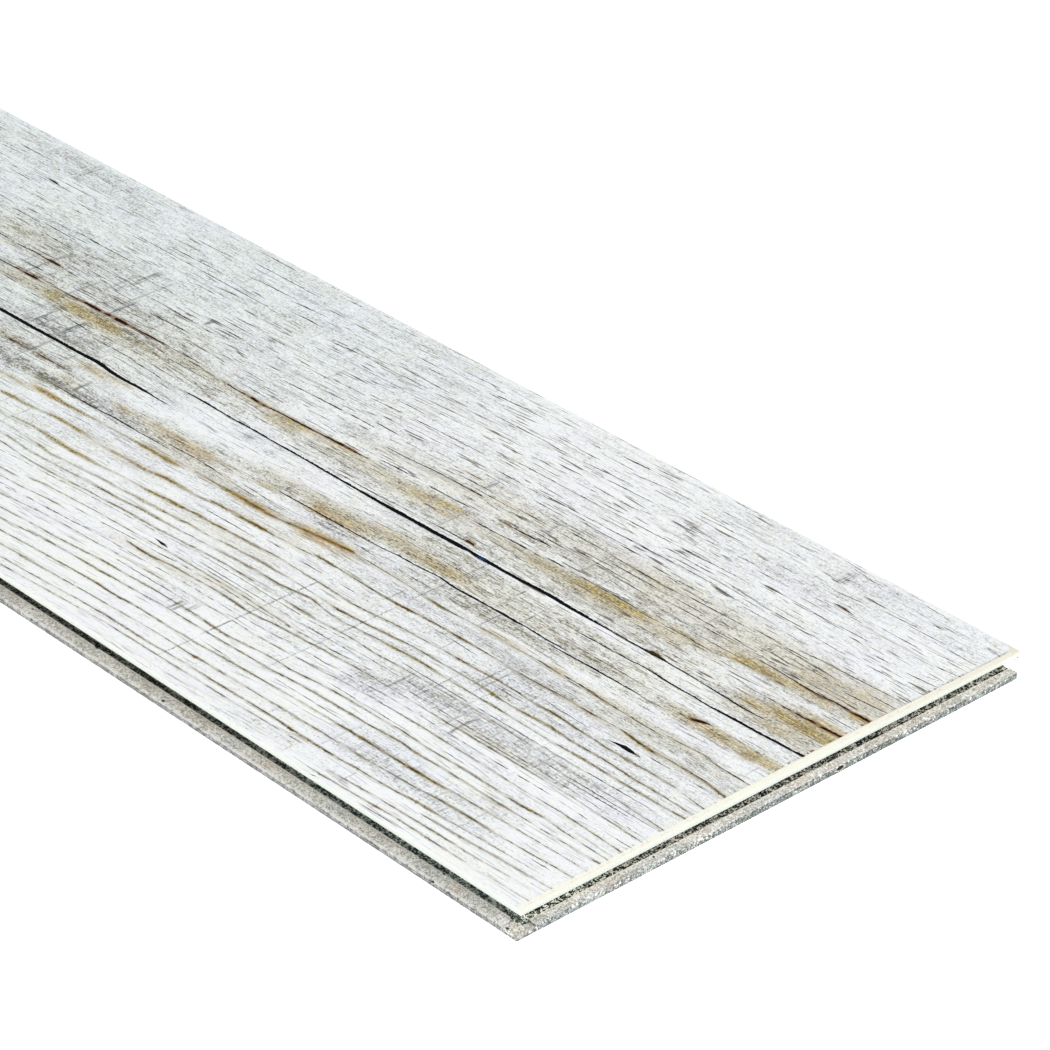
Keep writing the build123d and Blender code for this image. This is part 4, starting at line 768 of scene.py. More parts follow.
# ------------------------------------------------------------------ materials
class Shade:
    """Small helper that builds a node tree."""

    def __init__(self, name):
        self.mat = bpy.data.materials.new(name)
        self.mat.use_nodes = True
        self.t = self.mat.node_tree
        self.t.nodes.clear()
        self.out = self.t.nodes.new("ShaderNodeOutputMaterial")
        self.bsdf = self.t.nodes.new("ShaderNodeBsdfPrincipled")
        self.t.links.new(self.bsdf.outputs[0], self.out.inputs[0])
        self.coord = self.t.nodes.new("ShaderNodeTexCoord")

    def put(self, socket, value):
        if isinstance(value, bpy.types.NodeSocket):
            self.t.links.new(value, socket)
        else:
            socket.default_value = value

    def math(self, op, a, b=0.0, c=0.0, clamp=False):
        n = self.t.nodes.new("ShaderNodeMath")
        n.operation = op
        n.use_clamp = clamp
        self.put(n.inputs[0], a)
        self.put(n.inputs[1], b)
        self.put(n.inputs[2], c)
        return n.outputs[0]

    def mix(self, f, a, b, mode="MIX"):
        n = self.t.nodes.new("ShaderNodeMix")
        n.data_type = "RGBA"
        n.blend_type = mode
        self.put(n.inputs[0], f)
        self.put(n.inputs[6], a if isinstance(a, bpy.types.NodeSocket) else (*a, 1.0))
        self.put(n.inputs[7], b if isinstance(b, bpy.types.NodeSocket) else (*b, 1.0))
        return n.outputs[2]

    def ramp(self, f, stops, smooth=False):
        n = self.t.nodes.new("ShaderNodeValToRGB")
        n.color_ramp.interpolation = "EASE" if smooth else "LINEAR"
        e = n.color_ramp.elements
        while len(e) < len(stops):
            e.new(0.5)
        for k, (p, col) in enumerate(stops):
            e[k].position = p
            e[k].color = (*col, 1.0)
        self.put(n.inputs[0], f)
        return n.outputs[0]

    def span(self, v, a, b, c=0.0, d=1.0, smooth=True):
        n = self.t.nodes.new("ShaderNodeMapRange")
        n.interpolation_type = "SMOOTHSTEP" if smooth else "LINEAR"
        n.clamp = True if not smooth else n.clamp
        for k, value in enumerate((v, a, b, c, d)):
            self.put(n.inputs[k], value)
        return n.outputs[0]

    def noise(self, vec, detail=2.0, rough=0.5, kind="FBM", scale=1.0, distortion=0.0):
        n = self.t.nodes.new("ShaderNodeTexNoise")
        self.put(n.inputs["Vector"], vec)
        n.inputs["Scale"].default_value = scale
        n.inputs["Detail"].default_value = detail
        n.inputs["Roughness"].default_value = rough
        n.inputs["Distortion"].default_value = distortion
        return n.outputs[0]

    def voronoi(self, vec, feature="F1", scale=1.0, randomness=1.0):
        n = self.t.nodes.new("ShaderNodeTexVoronoi")
        n.feature = feature
        self.put(n.inputs["Vector"], vec)
        n.inputs["Scale"].default_value = scale
        n.inputs["Randomness"].default_value = randomness
        return n

    def attr(self, name):
        n = self.t.nodes.new("ShaderNodeAttribute")
        n.attribute_type = "GEOMETRY"
        n.attribute_name = name
        return n.outputs["Vector"]

    def parts(self, v):
        n = self.t.nodes.new("ShaderNodeSeparateXYZ")
        self.put(n.inputs[0], v)
        return n.outputs[0], n.outputs[1], n.outputs[2]

    def join(self, x, y, z=0.0):
        n = self.t.nodes.new("ShaderNodeCombineXYZ")
        self.put(n.inputs[0], x)
        self.put(n.inputs[1], y)
        self.put(n.inputs[2], z)
        return n.outputs[0]

    def bump(self, height, distance, strength=1.0, normal=None):
        n = self.t.nodes.new("ShaderNodeBump")
        n.inputs["Strength"].default_value = strength
        n.inputs["Distance"].default_value = distance
        self.put(n.inputs["Height"], height)
        if normal is not None:
            self.put(n.inputs["Normal"], normal)
        return n.outputs[0]


def lin(r, g, b):
    """8-bit display colour to linear."""
    return tuple(((v / 255.0 + 0.055) / 1.055) ** 2.4 if v > 10 else v / 255.0 / 12.92 for v in (r, g, b))


ALB = 0.885     # the light that reaches a level face is about 1 / ALB


def paint(r, g, b, k=1.0):
    """Surface colour that shows as this 8-bit colour under the studio light."""
    return tuple(v * ALB * k for v in lin(r, g, b))


# Printed face.
s = Shade("printed_decor_wood")
ox, oy, oz = s.parts(s.coord.outputs["Object"])
xm = s.math("MULTIPLY", ox, 1000.0)          # mm along the plank
zm = s.math("MULTIPLY", oz, 1000.0)
ym_flow, busy, level_v = s.parts(s.attr("grain"))
ochre, rust, beige = s.parts(s.attr("wash_a"))
lilac, white, cool_s = s.parts(s.attr("wash_b"))


def grain_noise(length, thick, detail=2.0, rough=0.5, seed=0.0, distortion=0.0):
    vec = s.join(s.math("MULTIPLY", xm, 1.0 / length), s.math("MULTIPLY", ym_flow, 1.0 / thick), seed)
    return s.noise(vec, detail, rough, distortion=distortion)


def centred(v, k):
    return s.math("MULTIPLY", s.math("SUBTRACT", v, 0.5), k)


def total(*terms):
    out = terms[0]
    for v in terms[1:]:
        out = s.math("ADD", out, v)
    return out


def times(*terms):
    out = terms[0]
    for v in terms[1:]:
        out = s.math("MULTIPLY", out, v)
    return out


n_fine = grain_noise(6.0, 0.42, 2.0, 0.6, 3.1)        # hair-fine streaks
n_dash = grain_noise(11.0, 0.62, 1.0, 0.5, 9.7)       # short fine checks
n_line = grain_noise(38.0, 1.15, 1.0, 0.5, 13.3)      # longer faint lines
n_band = grain_noise(55.0, 3.0, 2.0, 0.5, 17.3)       # broader bands of tone
n_blot = grain_noise(22.0, 9.0, 3.0, 0.6, 23.9, 0.3)  # mottling of the paint
n_speck = grain_noise(1.3, 0.7, 2.0, 0.7, 31.0)       # grit
n_grit = grain_noise(0.7, 0.5, 1.0, 0.6, 33.0)        # finest grit
n_patch = grain_noise(3.6, 1.7, 3.0, 0.65, 37.0)      # worn patches
n_hue = grain_noise(30.0, 14.0, 2.0, 0.5, 43.0)
n_tint = grain_noise(4.0, 1.6, 3.0, 0.7, 47.0)        # small warm and cool specks
n_worn = grain_noise(9.0, 3.6, 3.0, 0.6, 53.0)
n_blush = grain_noise(2.6, 1.4, 2.0, 0.6, 57.0)
n_hatch = s.noise(s.join(s.math("MULTIPLY", xm, 1.0 / 0.9), s.math("MULTIPLY", ym_flow, 1.0 / 7.0), 59.0), 2.0, 0.6)

# Whitewash over grey wood: one tone value, darker where the paint is worn.
beige = times(beige, s.span(total(0.5, centred(n_fine, 1.5), centred(n_patch, 1.2), centred(n_band, 0.8)), 0.3, 0.7, 1.4, 0.6))
beige = s.math("MINIMUM", beige, 1.0)
tone_v = total(0.66, centred(n_blot, 0.5), centred(n_band, 0.5), centred(n_fine, 1.0), centred(n_speck, 1.35),
               centred(n_grit, 1.0), centred(n_patch, 0.85), centred(n_line, 0.3), centred(n_worn, 0.3), level_v,
               times(white, 0.20), times(lilac, s.math("MULTIPLY_ADD", n_hatch, -1.2, 0.24)), times(beige, -0.30), times(cool_s, -0.09))
base = s.ramp(tone_v, [(0.0, paint(118, 114, 104)), (0.2, paint(170, 168, 161)), (0.4, paint(206, 207, 205)),
                       (0.56, paint(226, 229, 229)), (0.72, paint(240, 244, 245)), (0.9, paint(250, 252, 253))])
# Slight shifts of hue: warm, greenish, bluish and lilac greys.
tint_k = 0.75
base = s.mix(s.span(n_hue, 0.5, 0.68, 0.0, 0.6), base, s.mix(1.0, base, (0.97, 0.955, 1.0), "MULTIPLY"))
base = s.mix(s.span(n_hue, 0.5, 0.34, 0.0, 0.6), base, s.mix(1.0, base, (1.0, 0.995, 0.955), "MULTIPLY"))
base = s.mix(s.span(n_tint, 0.5, 0.66, 0.0, tint_k), base, s.mix(1.0, base, (0.99, 0.99, 0.89), "MULTIPLY"))
base = s.mix(s.span(n_tint, 0.5, 0.34, 0.0, tint_k), base, s.mix(1.0, base, (0.94, 0.96, 1.0), "MULTIPLY"))
base = s.mix(s.span(n_blush, 0.56, 0.72, 0.0, tint_k), base, s.mix(1.0, base, (1.0, 0.94, 0.965), "MULTIPLY"))
base = s.mix(cool_s, base, s.mix(1.0, base, (0.955, 0.99, 0.985), "MULTIPLY"))
base = s.mix(beige, base, s.mix(1.0, base, (0.975, 0.955, 0.87), "MULTIPLY"))
base = s.mix(lilac, base, s.mix(1.0, base, (0.955, 0.955, 0.995), "MULTIPLY"))

# Ochre and rust stains soak in along the grain.
soak = s.span(total(0.5, centred(n_fine, 1.6), centred(n_patch, 0.8), centred(n_band, 0.9), centred(n_speck, 0.5)), 0.30, 0.70)
ochre_f = s.math("MINIMUM", times(ochre, s.math("MULTIPLY_ADD", soak, 0.78, 0.48)), 0.96)
ochre_tone = total(0.5, centred(n_speck, 1.5), centred(n_fine, 2.0), centred(n_worn, 0.7), centred(n_grit, 0.8))
base = s.mix(ochre_f, base, s.ramp(ochre_tone, [(0.10, paint(66, 50, 20)), (0.41, paint(155, 133, 74)), (0.61, paint(193, 172, 108)), (0.90, paint(234, 221, 168))]))
rust_f = s.math("MINIMUM", times(rust, s.math("MULTIPLY_ADD", soak, 0.85, 0.35)), 0.95)
rust_tone = total(0.5, centred(n_speck, 1.3), centred(n_fine, 1.6), centred(n_worn, 1.0))
base = s.mix(rust_f, base, s.ramp(rust_tone, [(0.12, paint(86, 58, 20)), (0.45, paint(180, 148, 88)), (0.84, paint(234, 216, 170))]))

# Fine checks everywhere, denser and darker where the face is busy.
dash_gate = s.span(total(times(n_band, 0.5), times(n_worn, 0.5)), 0.38, 0.58, 0.1, 1.0)
streak_a = times(s.span(n_fine, 0.58, 0.72), busy, s.math("MULTIPLY_ADD", s.math("MINIMUM", ochre, 1.0), 0.2, 0.62))
base = s.mix(streak_a, base, s.mix(ochre, paint(126, 120, 110), paint(104, 84, 46)))
streak_b = times(s.span(n_dash, 0.60, 0.68), busy, dash_gate, 1.2)
base = s.mix(s.math("MINIMUM", streak_b, 0.85), base, paint(92, 84, 70))
streak_c = times(s.span(n_line, 0.62, 0.70), busy, 0.35)
base = s.mix(streak_c, base, paint(118, 110, 94))

# Marks across the grain, showing on the raised grain only; wide ones are soft and hatched.
n_wobble = grain_noise(5.0, 2.2, 2.0, 0.6, 41.0)
cross_gate = s.span(total(0.5, centred(n_speck, 1.1), centred(n_patch, 0.8), centred(n_fine, 1.2)), 0.38, 0.62, 0.05, 1.0)
hatch = s.span(n_hatch, 0.38, 0.6, 0.1, 1.0)
for f in range(VFIELDS):
    d, w, strength = s.parts(s.attr(f"cross_{f}"))
    wide = s.span(w, 0.25, 0.5)
    d = total(d, centred(n_wobble, 0.8), times(wide, centred(n_patch, 1.5)))
    edge = s.math("SUBTRACT", s.math("ABSOLUTE", d), w)
    soft = s.math("MULTIPLY_ADD", wide, 0.7, 0.3)
    pick = s.math("ADD", times(wide, hatch), times(s.math("SUBTRACT", 1.0, wide), cross_gate))
    m = times(s.span(edge, soft, times(soft, -0.5)), strength, pick, 1.6)
    base = s.mix(s.math("MINIMUM", m, 0.82), base, paint(98, 100, 104))

# Strokes along the grain.
TONES = [(0.0, paint(2, 4, 8)), (0.12, paint(14, 16, 20)), (0.3, paint(48, 44, 38)), (0.42, paint(40, 24, 10)),
         (0.452, paint(34, 16, 5)), (0.46, paint(62, 54, 28)), (0.492, paint(34, 26, 8)), (0.5, paint(30, 12, 2)),
         (0.57, paint(74, 62, 22)), (0.62, paint(124, 117, 72)), (0.68, paint(122, 108, 48)),
         (0.8, paint(138, 104, 40)), (0.94, paint(122, 82, 30)), (1.0, paint(24, 70, 130))]
width_n = grain_noise(6.0, 3.0, 3.0, 0.7, 51.0)
width_rough = s.span(width_n, 0.28, 0.72, 0.3, 1.25, smooth=False)
width_even = s.span(width_n, 0.28, 0.72, 0.85, 1.2, smooth=False)
offset = total(centred(grain_noise(2.6, 1.2, 2.0, 0.65, 61.0), 0.4), centred(n_speck, 0.5))
fade = s.span(grain_noise(17.0, 5.0, 3.0, 0.6, 91.0), 0.36, 0.6, 0.4, 1.25)
gap = s.span(grain_noise(8.0, 4.0, 2.0, 0.6, 71.0), 0.32, 0.52, 0.12, 1.0)
grit_2 = s.span(total(times(n_speck, 0.6), times(n_grit, 0.4)), 0.36, 0.56, 0.0, 1.0)
core_gap = s.span(grain_noise(4.6, 2.4, 2.0, 0.6, 101.0), 0.36, 0.54, 0.08, 1.0)
rusty = times(s.span(grain_noise(7.0, 2.6, 2.0, 0.6, 81.0), 0.56, 0.68), 0.75)
left_mid = times(s.span(xm, 450.0, 350.0), s.span(s.math("MULTIPLY", oy, 1000.0), -46.0, -32.0))
corner_fade = s.math("SUBTRACT", 1.0, times(s.span(xm, 568.0, 592.0), s.span(s.math("MULTIPLY", oy, 1000.0), -70.0, -80.0), 0.45))
band_grit = total(times(n_speck, 0.5), times(n_grit, 0.5))
band_ink = s.ramp(band_grit, [(0.36, paint(206, 194, 134)), (0.48, paint(170, 150, 76)), (0.60, paint(112, 90, 38))])
speckle = s.math("ADD", 1.0, times(left_mid, s.math("SUBTRACT", s.span(band_grit, 0.40, 0.54, 0.25, 1.2), 1.0)))
groove = None
inks = []
for f in range(FIELDS):
    d, w, tone = s.parts(s.attr(f"mark_{f}"))
    stained = times(s.span(tone, 0.55, 0.6), s.span(tone, 0.98, 0.95))
    plain = s.math("SUBTRACT", 1.0, stained)
    d = total(d, offset, times(stained, centred(n_grit, 1.3)))
    rough_f = s.span(tone, 0.12, 0.3, 0.0, 1.0)
    w_real = total(s.math("MULTIPLY_ADD", s.span(w, 0.2, 0.42), 0.06, 0.02), s.span(tone, 0.25, 0.1, 0.0, 0.02), times(w, s.math("ADD", width_even, times(rough_f, s.math("SUBTRACT", width_rough, width_even)))),
                   times(stained, left_mid, 0.16))
    soft = s.math("MULTIPLY_ADD", stained, 0.21, 0.08)
    edge = s.math("SUBTRACT", s.math("ABSOLUTE", d), w_real)
    m = s.span(edge, soft, times(soft, -0.4))
    valid = s.math("GREATER_THAN", w, -0.5)
    bold = s.math("MINIMUM", times(s.span(w, 0.14, 0.58, 0.12, 1.05, smooth=False), fade), 1.0)
    halo = times(s.span(edge, 1.0, 0.0), stained, valid, bold, 0.3)
    base = s.mix(halo, base, paint(188, 184, 160))
    brown = times(s.span(tone, 0.37, 0.42), plain, s.span(w, 0.17, 0.4), s.span(edge, 0.9, 0.0), valid, 0.75)
    base = s.mix(brown, base, paint(142, 100, 50))
    whole = s.span(w, 0.22, 0.42)
    breaks = s.math("SUBTRACT", 1.0, times(rough_f, s.math("SUBTRACT", 1.0, s.math("MAXIMUM", gap, whole))))
    thin_core = times(s.span(tone, 0.455, 0.461), s.span(tone, 0.495, 0.489))
    m = times(m, valid, breaks, corner_fade, s.math("SUBTRACT", 1.0, times(thin_core, s.math("SUBTRACT", 1.0, core_gap))),
              s.math("SUBTRACT", 1.0, times(thin_core, left_mid, 0.62)))
    ink = s.ramp(tone, TONES)
    under = s.math("MINIMUM", times(m, stained, bold, s.math("MULTIPLY_ADD", grit_2, 0.72, 0.36), speckle), 1.0)
    base = s.mix(under, base, s.mix(times(left_mid, 0.75), s.mix(rusty, ink, paint(152, 104, 40)), band_ink))
    deep = times(m, plain)
    inks.append((deep, ink))
    groove = deep if groove is None else s.math("MAXIMUM", groove, deep)
for deep, ink in inks:
    base = s.mix(deep, base, ink)

# Bare cream edge: on the bevels, past a slightly ragged print line, and down the sides.
rag = s.noise(s.join(0.0, s.math("MULTIPLY", oy, 700.0), 5.0), 3.0, 0.6)
ymm = s.math("MULTIPLY", oy, 1000.0)
recede = total(times(s.span(ymm, -48.0, 8.0), s.span(ymm, 66.0, 20.0), 0.5), s.span(ymm, 52.0, 84.0, 0.0, -0.3))
past_hi = s.span(total(xm, recede, s.math("MULTIPLY", rag, 0.7), -(TOP_X1 + 0.33)), -0.05, 0.1)
frayed = times(s.span(total(xm, recede, s.math("MULTIPLY", rag, 0.7), -(TOP_X1 + 0.33)), -1.0, -0.35), s.span(rag, 0.48, 0.58), s.span(s.noise(s.join(2.0, s.math("MULTIPLY", oy, 110.0), 8.0), 1.0, 0.5), 0.44, 0.58), s.span(ymm, -20.0, 12.0, 0.15, 1.0), 1.0)
base = s.mix(frayed, base, paint(112, 94, 64))
past_lo = s.span(s.math("SUBTRACT", s.math("MULTIPLY_ADD", rag, 0.5, TOP_X0 - 0.2), xm), -0.05, 0.1)
side = s.span(zm, TOP_Z - 0.03, TOP_Z - 0.08)
wall = s.math("MULTIPLY", side, s.math("GREATER_THAN", s.math("ABSOLUTE", oy), 0.0884))
cream = s.mix(rag, paint(238, 237, 222), paint(243, 243, 230))
cream = s.mix(s.span(ymm, 10.0, 88.0, 0.0, 0.75), cream, paint(230, 226, 208))
# The near long side wall: the same cream painted whiter and cooler, as painted light.
cream = s.mix(s.math("LESS_THAN", ymm, SIDE_Y0 + 0.03), cream, paint(240, 244, 242))
bare = s.math("MAXIMUM", s.math("MAXIMUM", past_hi, past_lo), wall)
final = s.mix(bare, base, cream)
s.put(s.bsdf.inputs["Base Color"], final)
s.bsdf.inputs["IOR"].default_value = 1.5
s.bsdf.inputs["Specular IOR Level"].default_value = 0.05
s.put(s.bsdf.inputs["Roughness"], s.math("MULTIPLY_ADD", n_fine, 0.14, 0.55))
height = s.math("SUBTRACT", s.math("MULTIPLY", n_fine, 0.35), s.math("MULTIPLY", groove, 1.0))
s.put(s.bsdf.inputs["Normal"], s.bump(height, 0.00006, 0.6))
mesh.materials.append(s.mat)

# Cream vinyl layer.
s = Shade("cream_vinyl_cut")
obj = s.coord.outputs["Object"]
ox, oy, oz = s.parts(obj)
n_soft = s.noise(obj, 3.0, 0.55, scale=260.0)
n_cut = s.noise(s.join(s.math("MULTIPLY", ox, 90.0), s.math("MULTIPLY", oy, 90.0), s.math("MULTIPLY", oz, 6000.0)), 2.0, 0.6)
geo = s.t.nodes.new("ShaderNodeNewGeometry")
nx, ny, nz = s.parts(geo.outputs["True Normal"])
ym = s.math("MULTIPLY", oy, 1000.0)
slope_col = s.mix(n_soft, paint(240, 239, 226), paint(246, 246, 235))
slope_col = s.mix(s.span(ym, 10.0, 88.0, 0.0, 0.75), slope_col, paint(231, 227, 209))
# Vertical faces: the same cream painted whiter and cooler than the bevels, as painted light.
lit_face_col = s.mix(n_soft, paint(233, 239, 230), paint(241, 247, 240))
col = s.mix(s.span(nz, 0.5, 0.9), lit_face_col, slope_col)
col = s.mix(s.math("MULTIPLY", s.span(n_cut, 0.55, 0.75), 0.3), col, paint(228, 228, 214))
s.put(s.bsdf.inputs["Base Color"], col)
s.put(s.bsdf.inputs["Roughness"], s.math("MULTIPLY_ADD", n_soft, 0.15, 0.42))
s.put(s.bsdf.inputs["Normal"], s.bump(n_cut, 0.00003, 0.5))
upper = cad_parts["upper_vinyl_layer"]
upper.data.materials.clear()
upper.data.materials.append(s.mat)

# Grey filled core: the milled board, with the small voids that its cut faces have opened.
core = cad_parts["core_board"]
VOIDS = [    # centre and half sizes, mm
    (612.6, 18.8, 1.2, 0.8, 1.4, 0.62), (581.4, -93.1, 1.3, 0.55, 0.5, 0.34), (581.6, -89.4, 2.12, 0.6, 0.45, 0.4),
    (572.2, -89.35, 2.15, 0.42, 0.4, 0.34), (608.3, -92.3, 1.42, 0.7, 0.6, 0.42), (612.0, -87.5, 2.05, 0.42, 0.4, 0.3),
    (606.8, -89.5, 2.15, 0.5, 0.42, 0.36), (607.15, -82.0, 1.7, 0.55, 0.6, 0.5), (438.6, -89.3, 2.1, 0.95, 0.55, 0.5),
    (410.8, -90.4, 2.02, 0.4, 0.32, 0.26), (610.8, -45.6, 2.13, 0.4, 0.42, 0.26), (471.2, -92.2, 1.75, 0.6, 0.42, 0.3),
    (607.2, 1.4, 1.9, 0.4, 0.5, 0.34), (607.2, -31.0, 2.2, 0.3, 0.45, 0.3), (612.7, 61.0, 1.5, 0.32, 0.6, 0.3)]
void_rng = np.random.default_rng(77)
for x in np.arange(-590.0, 400.0, 47.0):
    VOIDS.append((float(x + void_rng.uniform(-18, 18)), float(void_rng.choice([-93.1, -91.6, -89.5])), 0.0,
                  *(float(v) for v in void_rng.uniform(0.3, 0.6, 3))))
VOIDS = [(x, y, z if z else {-93.1: 1.1, -91.6: 1.85, -89.5: 2.15}[y], rx, ry, rz) for x, y, z, rx, ry, rz in VOIDS]
cutter_verts, cutter_faces = [], []
for x, y, z, rx, ry, rz in VOIDS:
    start = len(cutter_verts)
    rings, turns = 7, 12
    cutter_verts.append((x, y, z + rz))
    for i in range(1, rings):
        for j in range(turns):
            u, v = math.pi * i / rings, 2 * math.pi * j / turns
            k = 1.0 + void_rng.uniform(-0.16, 0.16)
            cutter_verts.append((x + rx * k * math.sin(u) * math.cos(v), y + ry * k * math.sin(u) * math.sin(v), z + rz * k * math.cos(u)))
    cutter_verts.append((x, y, z - rz))
    last = len(cutter_verts) - 1
    for j in range(turns):
        n = (j + 1) % turns
        cutter_faces.append((start, start + 1 + j, start + 1 + n))
        for i in range(rings - 2):
            r0, r1 = start + 1 + i * turns, start + 1 + (i + 1) * turns
            cutter_faces.append((r0 + j, r1 + j, r1 + n))
            cutter_faces.append((r0 + j, r1 + n, r0 + n))
        r = start + 1 + (rings - 2) * turns
        cutter_faces.append((r + j, last, r + n))
cutter_mesh = bpy.data.meshes.new("core_voids_mesh")
cutter_mesh.from_pydata([tuple(c * MM for c in v) for v in cutter_verts], [], cutter_faces)
cutter = bpy.data.objects.new("core_voids", cutter_mesh)
scene.collection.objects.link(cutter)
board = bpy.data.objects.new("filled_core", core.data.copy())
scene.collection.objects.link(board)
board.matrix_world = core.matrix_world.copy()
cut = board.modifiers.new("voids", "BOOLEAN")
cut.operation = "DIFFERENCE"
cut.solver = "EXACT"
cut.object = cutter
bpy.context.view_layer.update()
cut_mesh = bpy.data.meshes.new_from_object(board.evaluated_get(bpy.context.evaluated_depsgraph_get()))
board.modifiers.clear()
board.data = cut_mesh
cut_mesh.name = "filled_core_mesh"
bpy.data.objects.remove(cutter)
n_faces = len(cut_mesh.polygons)
centres = np.empty(n_faces * 3)
cut_mesh.polygons.foreach_get("center", centres)
centres = centres.reshape(-1, 3) / MM
inside = np.zeros(n_faces)
corners = np.empty(len(cut_mesh.vertices) * 3)
cut_mesh.vertices.foreach_get("co", corners)
corners = corners.reshape(-1, 3) / MM
loop_start = np.empty(n_faces, np.int64)
cut_mesh.polygons.foreach_get("loop_start", loop_start)
loop_vertex = np.empty(len(cut_mesh.loops), np.int64)
cut_mesh.loops.foreach_get("vertex_index", loop_vertex)
for x, y, z, rx, ry, rz in VOIDS:
    q = np.sqrt(((centres - (x, y, z)) ** 2 / np.square((rx, ry, rz))).sum(1))
    q_corner = np.sqrt(((corners - (x, y, z)) ** 2 / np.square((rx, ry, rz))).sum(1))
    q_far = np.maximum.reduceat(q_corner[loop_vertex], loop_start)
    inside = np.maximum(inside, ((q < 1.08) & (q_far < 1.2)).astype(float))
hollow = cut_mesh.attributes.new("hollow", "FLOAT", "FACE")
hollow.data.foreach_set("value", inside.astype(np.float32))
cut_mesh.polygons.foreach_set("use_smooth", [False] * n_faces)
print("core faces", n_faces, "in voids", int(inside.sum()))
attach(board, "root")
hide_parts("core_board")

s = Shade("filled_core_board")
obj = s.coord.outputs["Object"]
ox, oy, oz = s.parts(obj)
xm, ym, zm = (s.math("MULTIPLY", v, 1000.0) for v in (ox, oy, oz))
geo = s.t.nodes.new("ShaderNodeNewGeometry")
nx, ny, nz = s.parts(geo.outputs["True Normal"])
flat = s.span(nz, 0.35, 0.8)
n_big = s.noise(obj, 2.0, 0.5, scale=130.0)
n_grain = s.noise(obj, 1.0, 0.5, scale=2500.0)
n_grit = s.noise(obj, 2.0, 0.6, scale=950.0)
n_chunk = s.noise(obj, 1.0, 0.5, scale=1250.0)
n_cast = s.noise(obj, 1.0, 0.5, scale=75.0)
v_groove = total(0.5, centred(n_chunk, 3.4), centred(n_grain, 1.8), centred(n_big, 0.8))
v = total(0.5, centred(n_grain, 2.6), centred(n_grit, 1.7), centred(n_big, 0.8))


def inside_of(value, low, high, edge=0.06):
    return times(s.span(value, low - edge, low + edge), s.span(value, high + edge, high - edge))


long_lip_shade_zone = times(s.span(ym, -86.4, -86.8), s.span(xm, 606.0, 603.0))
front_long = s.span(ny, -0.3, -0.7)
groove_long = times(inside_of(ym, -89.36, -86.5), s.span(xm, 609.8, 609.6), s.span(zm, 3.32, 3.28), s.span(zm, 0.9, 1.1))
groove_short = times(inside_of(xm, 606.9, 609.88), s.span(ym, -89.4, -89.2), s.span(zm, 3.32, 3.28), s.span(zm, 0.9, 1.1))
top_col = s.ramp(v, [(0.0, paint(160, 156, 146)), (0.5, paint(209, 206, 196)), (1.0, paint(246, 246, 241))])
top_col = s.mix(s.span(ym, 0.0, 65.0, 0.0, 0.9), top_col, s.mix(1.0, top_col, (0.875, 0.86, 0.83), "MULTIPLY"))
# Long lip top: the same core painted darker, as painted shade from the upper layer above it.
top_long_shaded = s.ramp(v, [(0.0, paint(144, 142, 133)), (0.5, paint(192, 190, 181)), (1.0, paint(228, 227, 220))])
front_col = s.ramp(v, [(0.0, paint(84, 88, 86)), (0.5, paint(142, 147, 145)), (1.0, paint(214, 219, 217))])
top_col = s.mix(times(s.span(xm, 610.9, 611.8), s.span(ym, -18.0, -60.0)), top_col, s.mix(1.0, top_col, (0.84, 0.87, 0.88), "MULTIPLY"))
front_col = s.mix(s.span(ym, -62.0, 2.0, 0.0, 1.0), front_col, s.mix(1.0, front_col, (0.70, 0.72, 0.71), "MULTIPLY"))
front_l = s.ramp(v, [(0.0, paint(84, 86, 86)), (0.5, paint(134, 136, 135)), (1.0, paint(186, 188, 188))])
# Top band of the long lip's front face, just under the ridge, painted darker: painted shade.
front_l = s.mix(s.span(zm, 0.9, 1.3), front_l, s.mix(1.0, front_l, (0.80, 0.79, 0.77), "MULTIPLY"))
# End groove: coarse dark speckle of the milled core, painted darker still as painted shade inside the groove; lighter
# towards the near corner and in a band of the far half.
groove_speckle_and_shade_s = s.ramp(v_groove, [(0.05, paint(14, 18, 16)), (0.38, paint(64, 68, 62)), (0.62, paint(132, 132, 121)), (0.95, paint(236, 234, 220))])
groove_speckle_and_shade_s = s.mix(s.span(ym, -40.0, -84.0), groove_speckle_and_shade_s, s.mix(1.0, groove_speckle_and_shade_s, (1.6, 1.68, 1.66), "MULTIPLY"))
groove_speckle_and_shade_s = s.mix(times(s.span(ym, 36.0, 60.0), s.span(zm, 1.35, 1.7)), groove_speckle_and_shade_s, s.mix(1.0, groove_speckle_and_shade_s, (1.7, 1.75, 1.75), "MULTIPLY"))
# Long groove: the same speckle and painted shade; warmer along its outer edge and lighter towards the end of the plank.
groove_speckle_and_shade_l = s.ramp(v_groove, [(0.05, paint(40, 45, 43)), (0.5, paint(92, 98, 94)), (0.95, paint(176, 176, 166))])
groove_speckle_and_shade_l = s.mix(s.span(ym, -88.1, -88.6), groove_speckle_and_shade_l, s.mix(1.0, groove_speckle_and_shade_l, (1.16, 1.06, 0.84), "MULTIPLY"))
groove_speckle_and_shade_l = s.mix(s.span(xm, 440.0, 585.0), groove_speckle_and_shade_l, s.mix(1.0, groove_speckle_and_shade_l, (1.8, 1.95, 2.05), "MULTIPLY"))
# Top faces: the long lip's top takes the darker copy, painted shade.
col = s.mix(flat, s.mix(front_long, front_col, front_l), s.mix(long_lip_shade_zone, top_col, top_long_shaded))
col = s.mix(s.span(n_cast, 0.52, 0.66), col, s.mix(1.0, col, (1.02, 0.965, 0.935), "MULTIPLY"))
col = s.mix(s.span(n_cast, 0.48, 0.34), col, s.mix(1.0, col, (0.95, 0.985, 1.01), "MULTIPLY"))
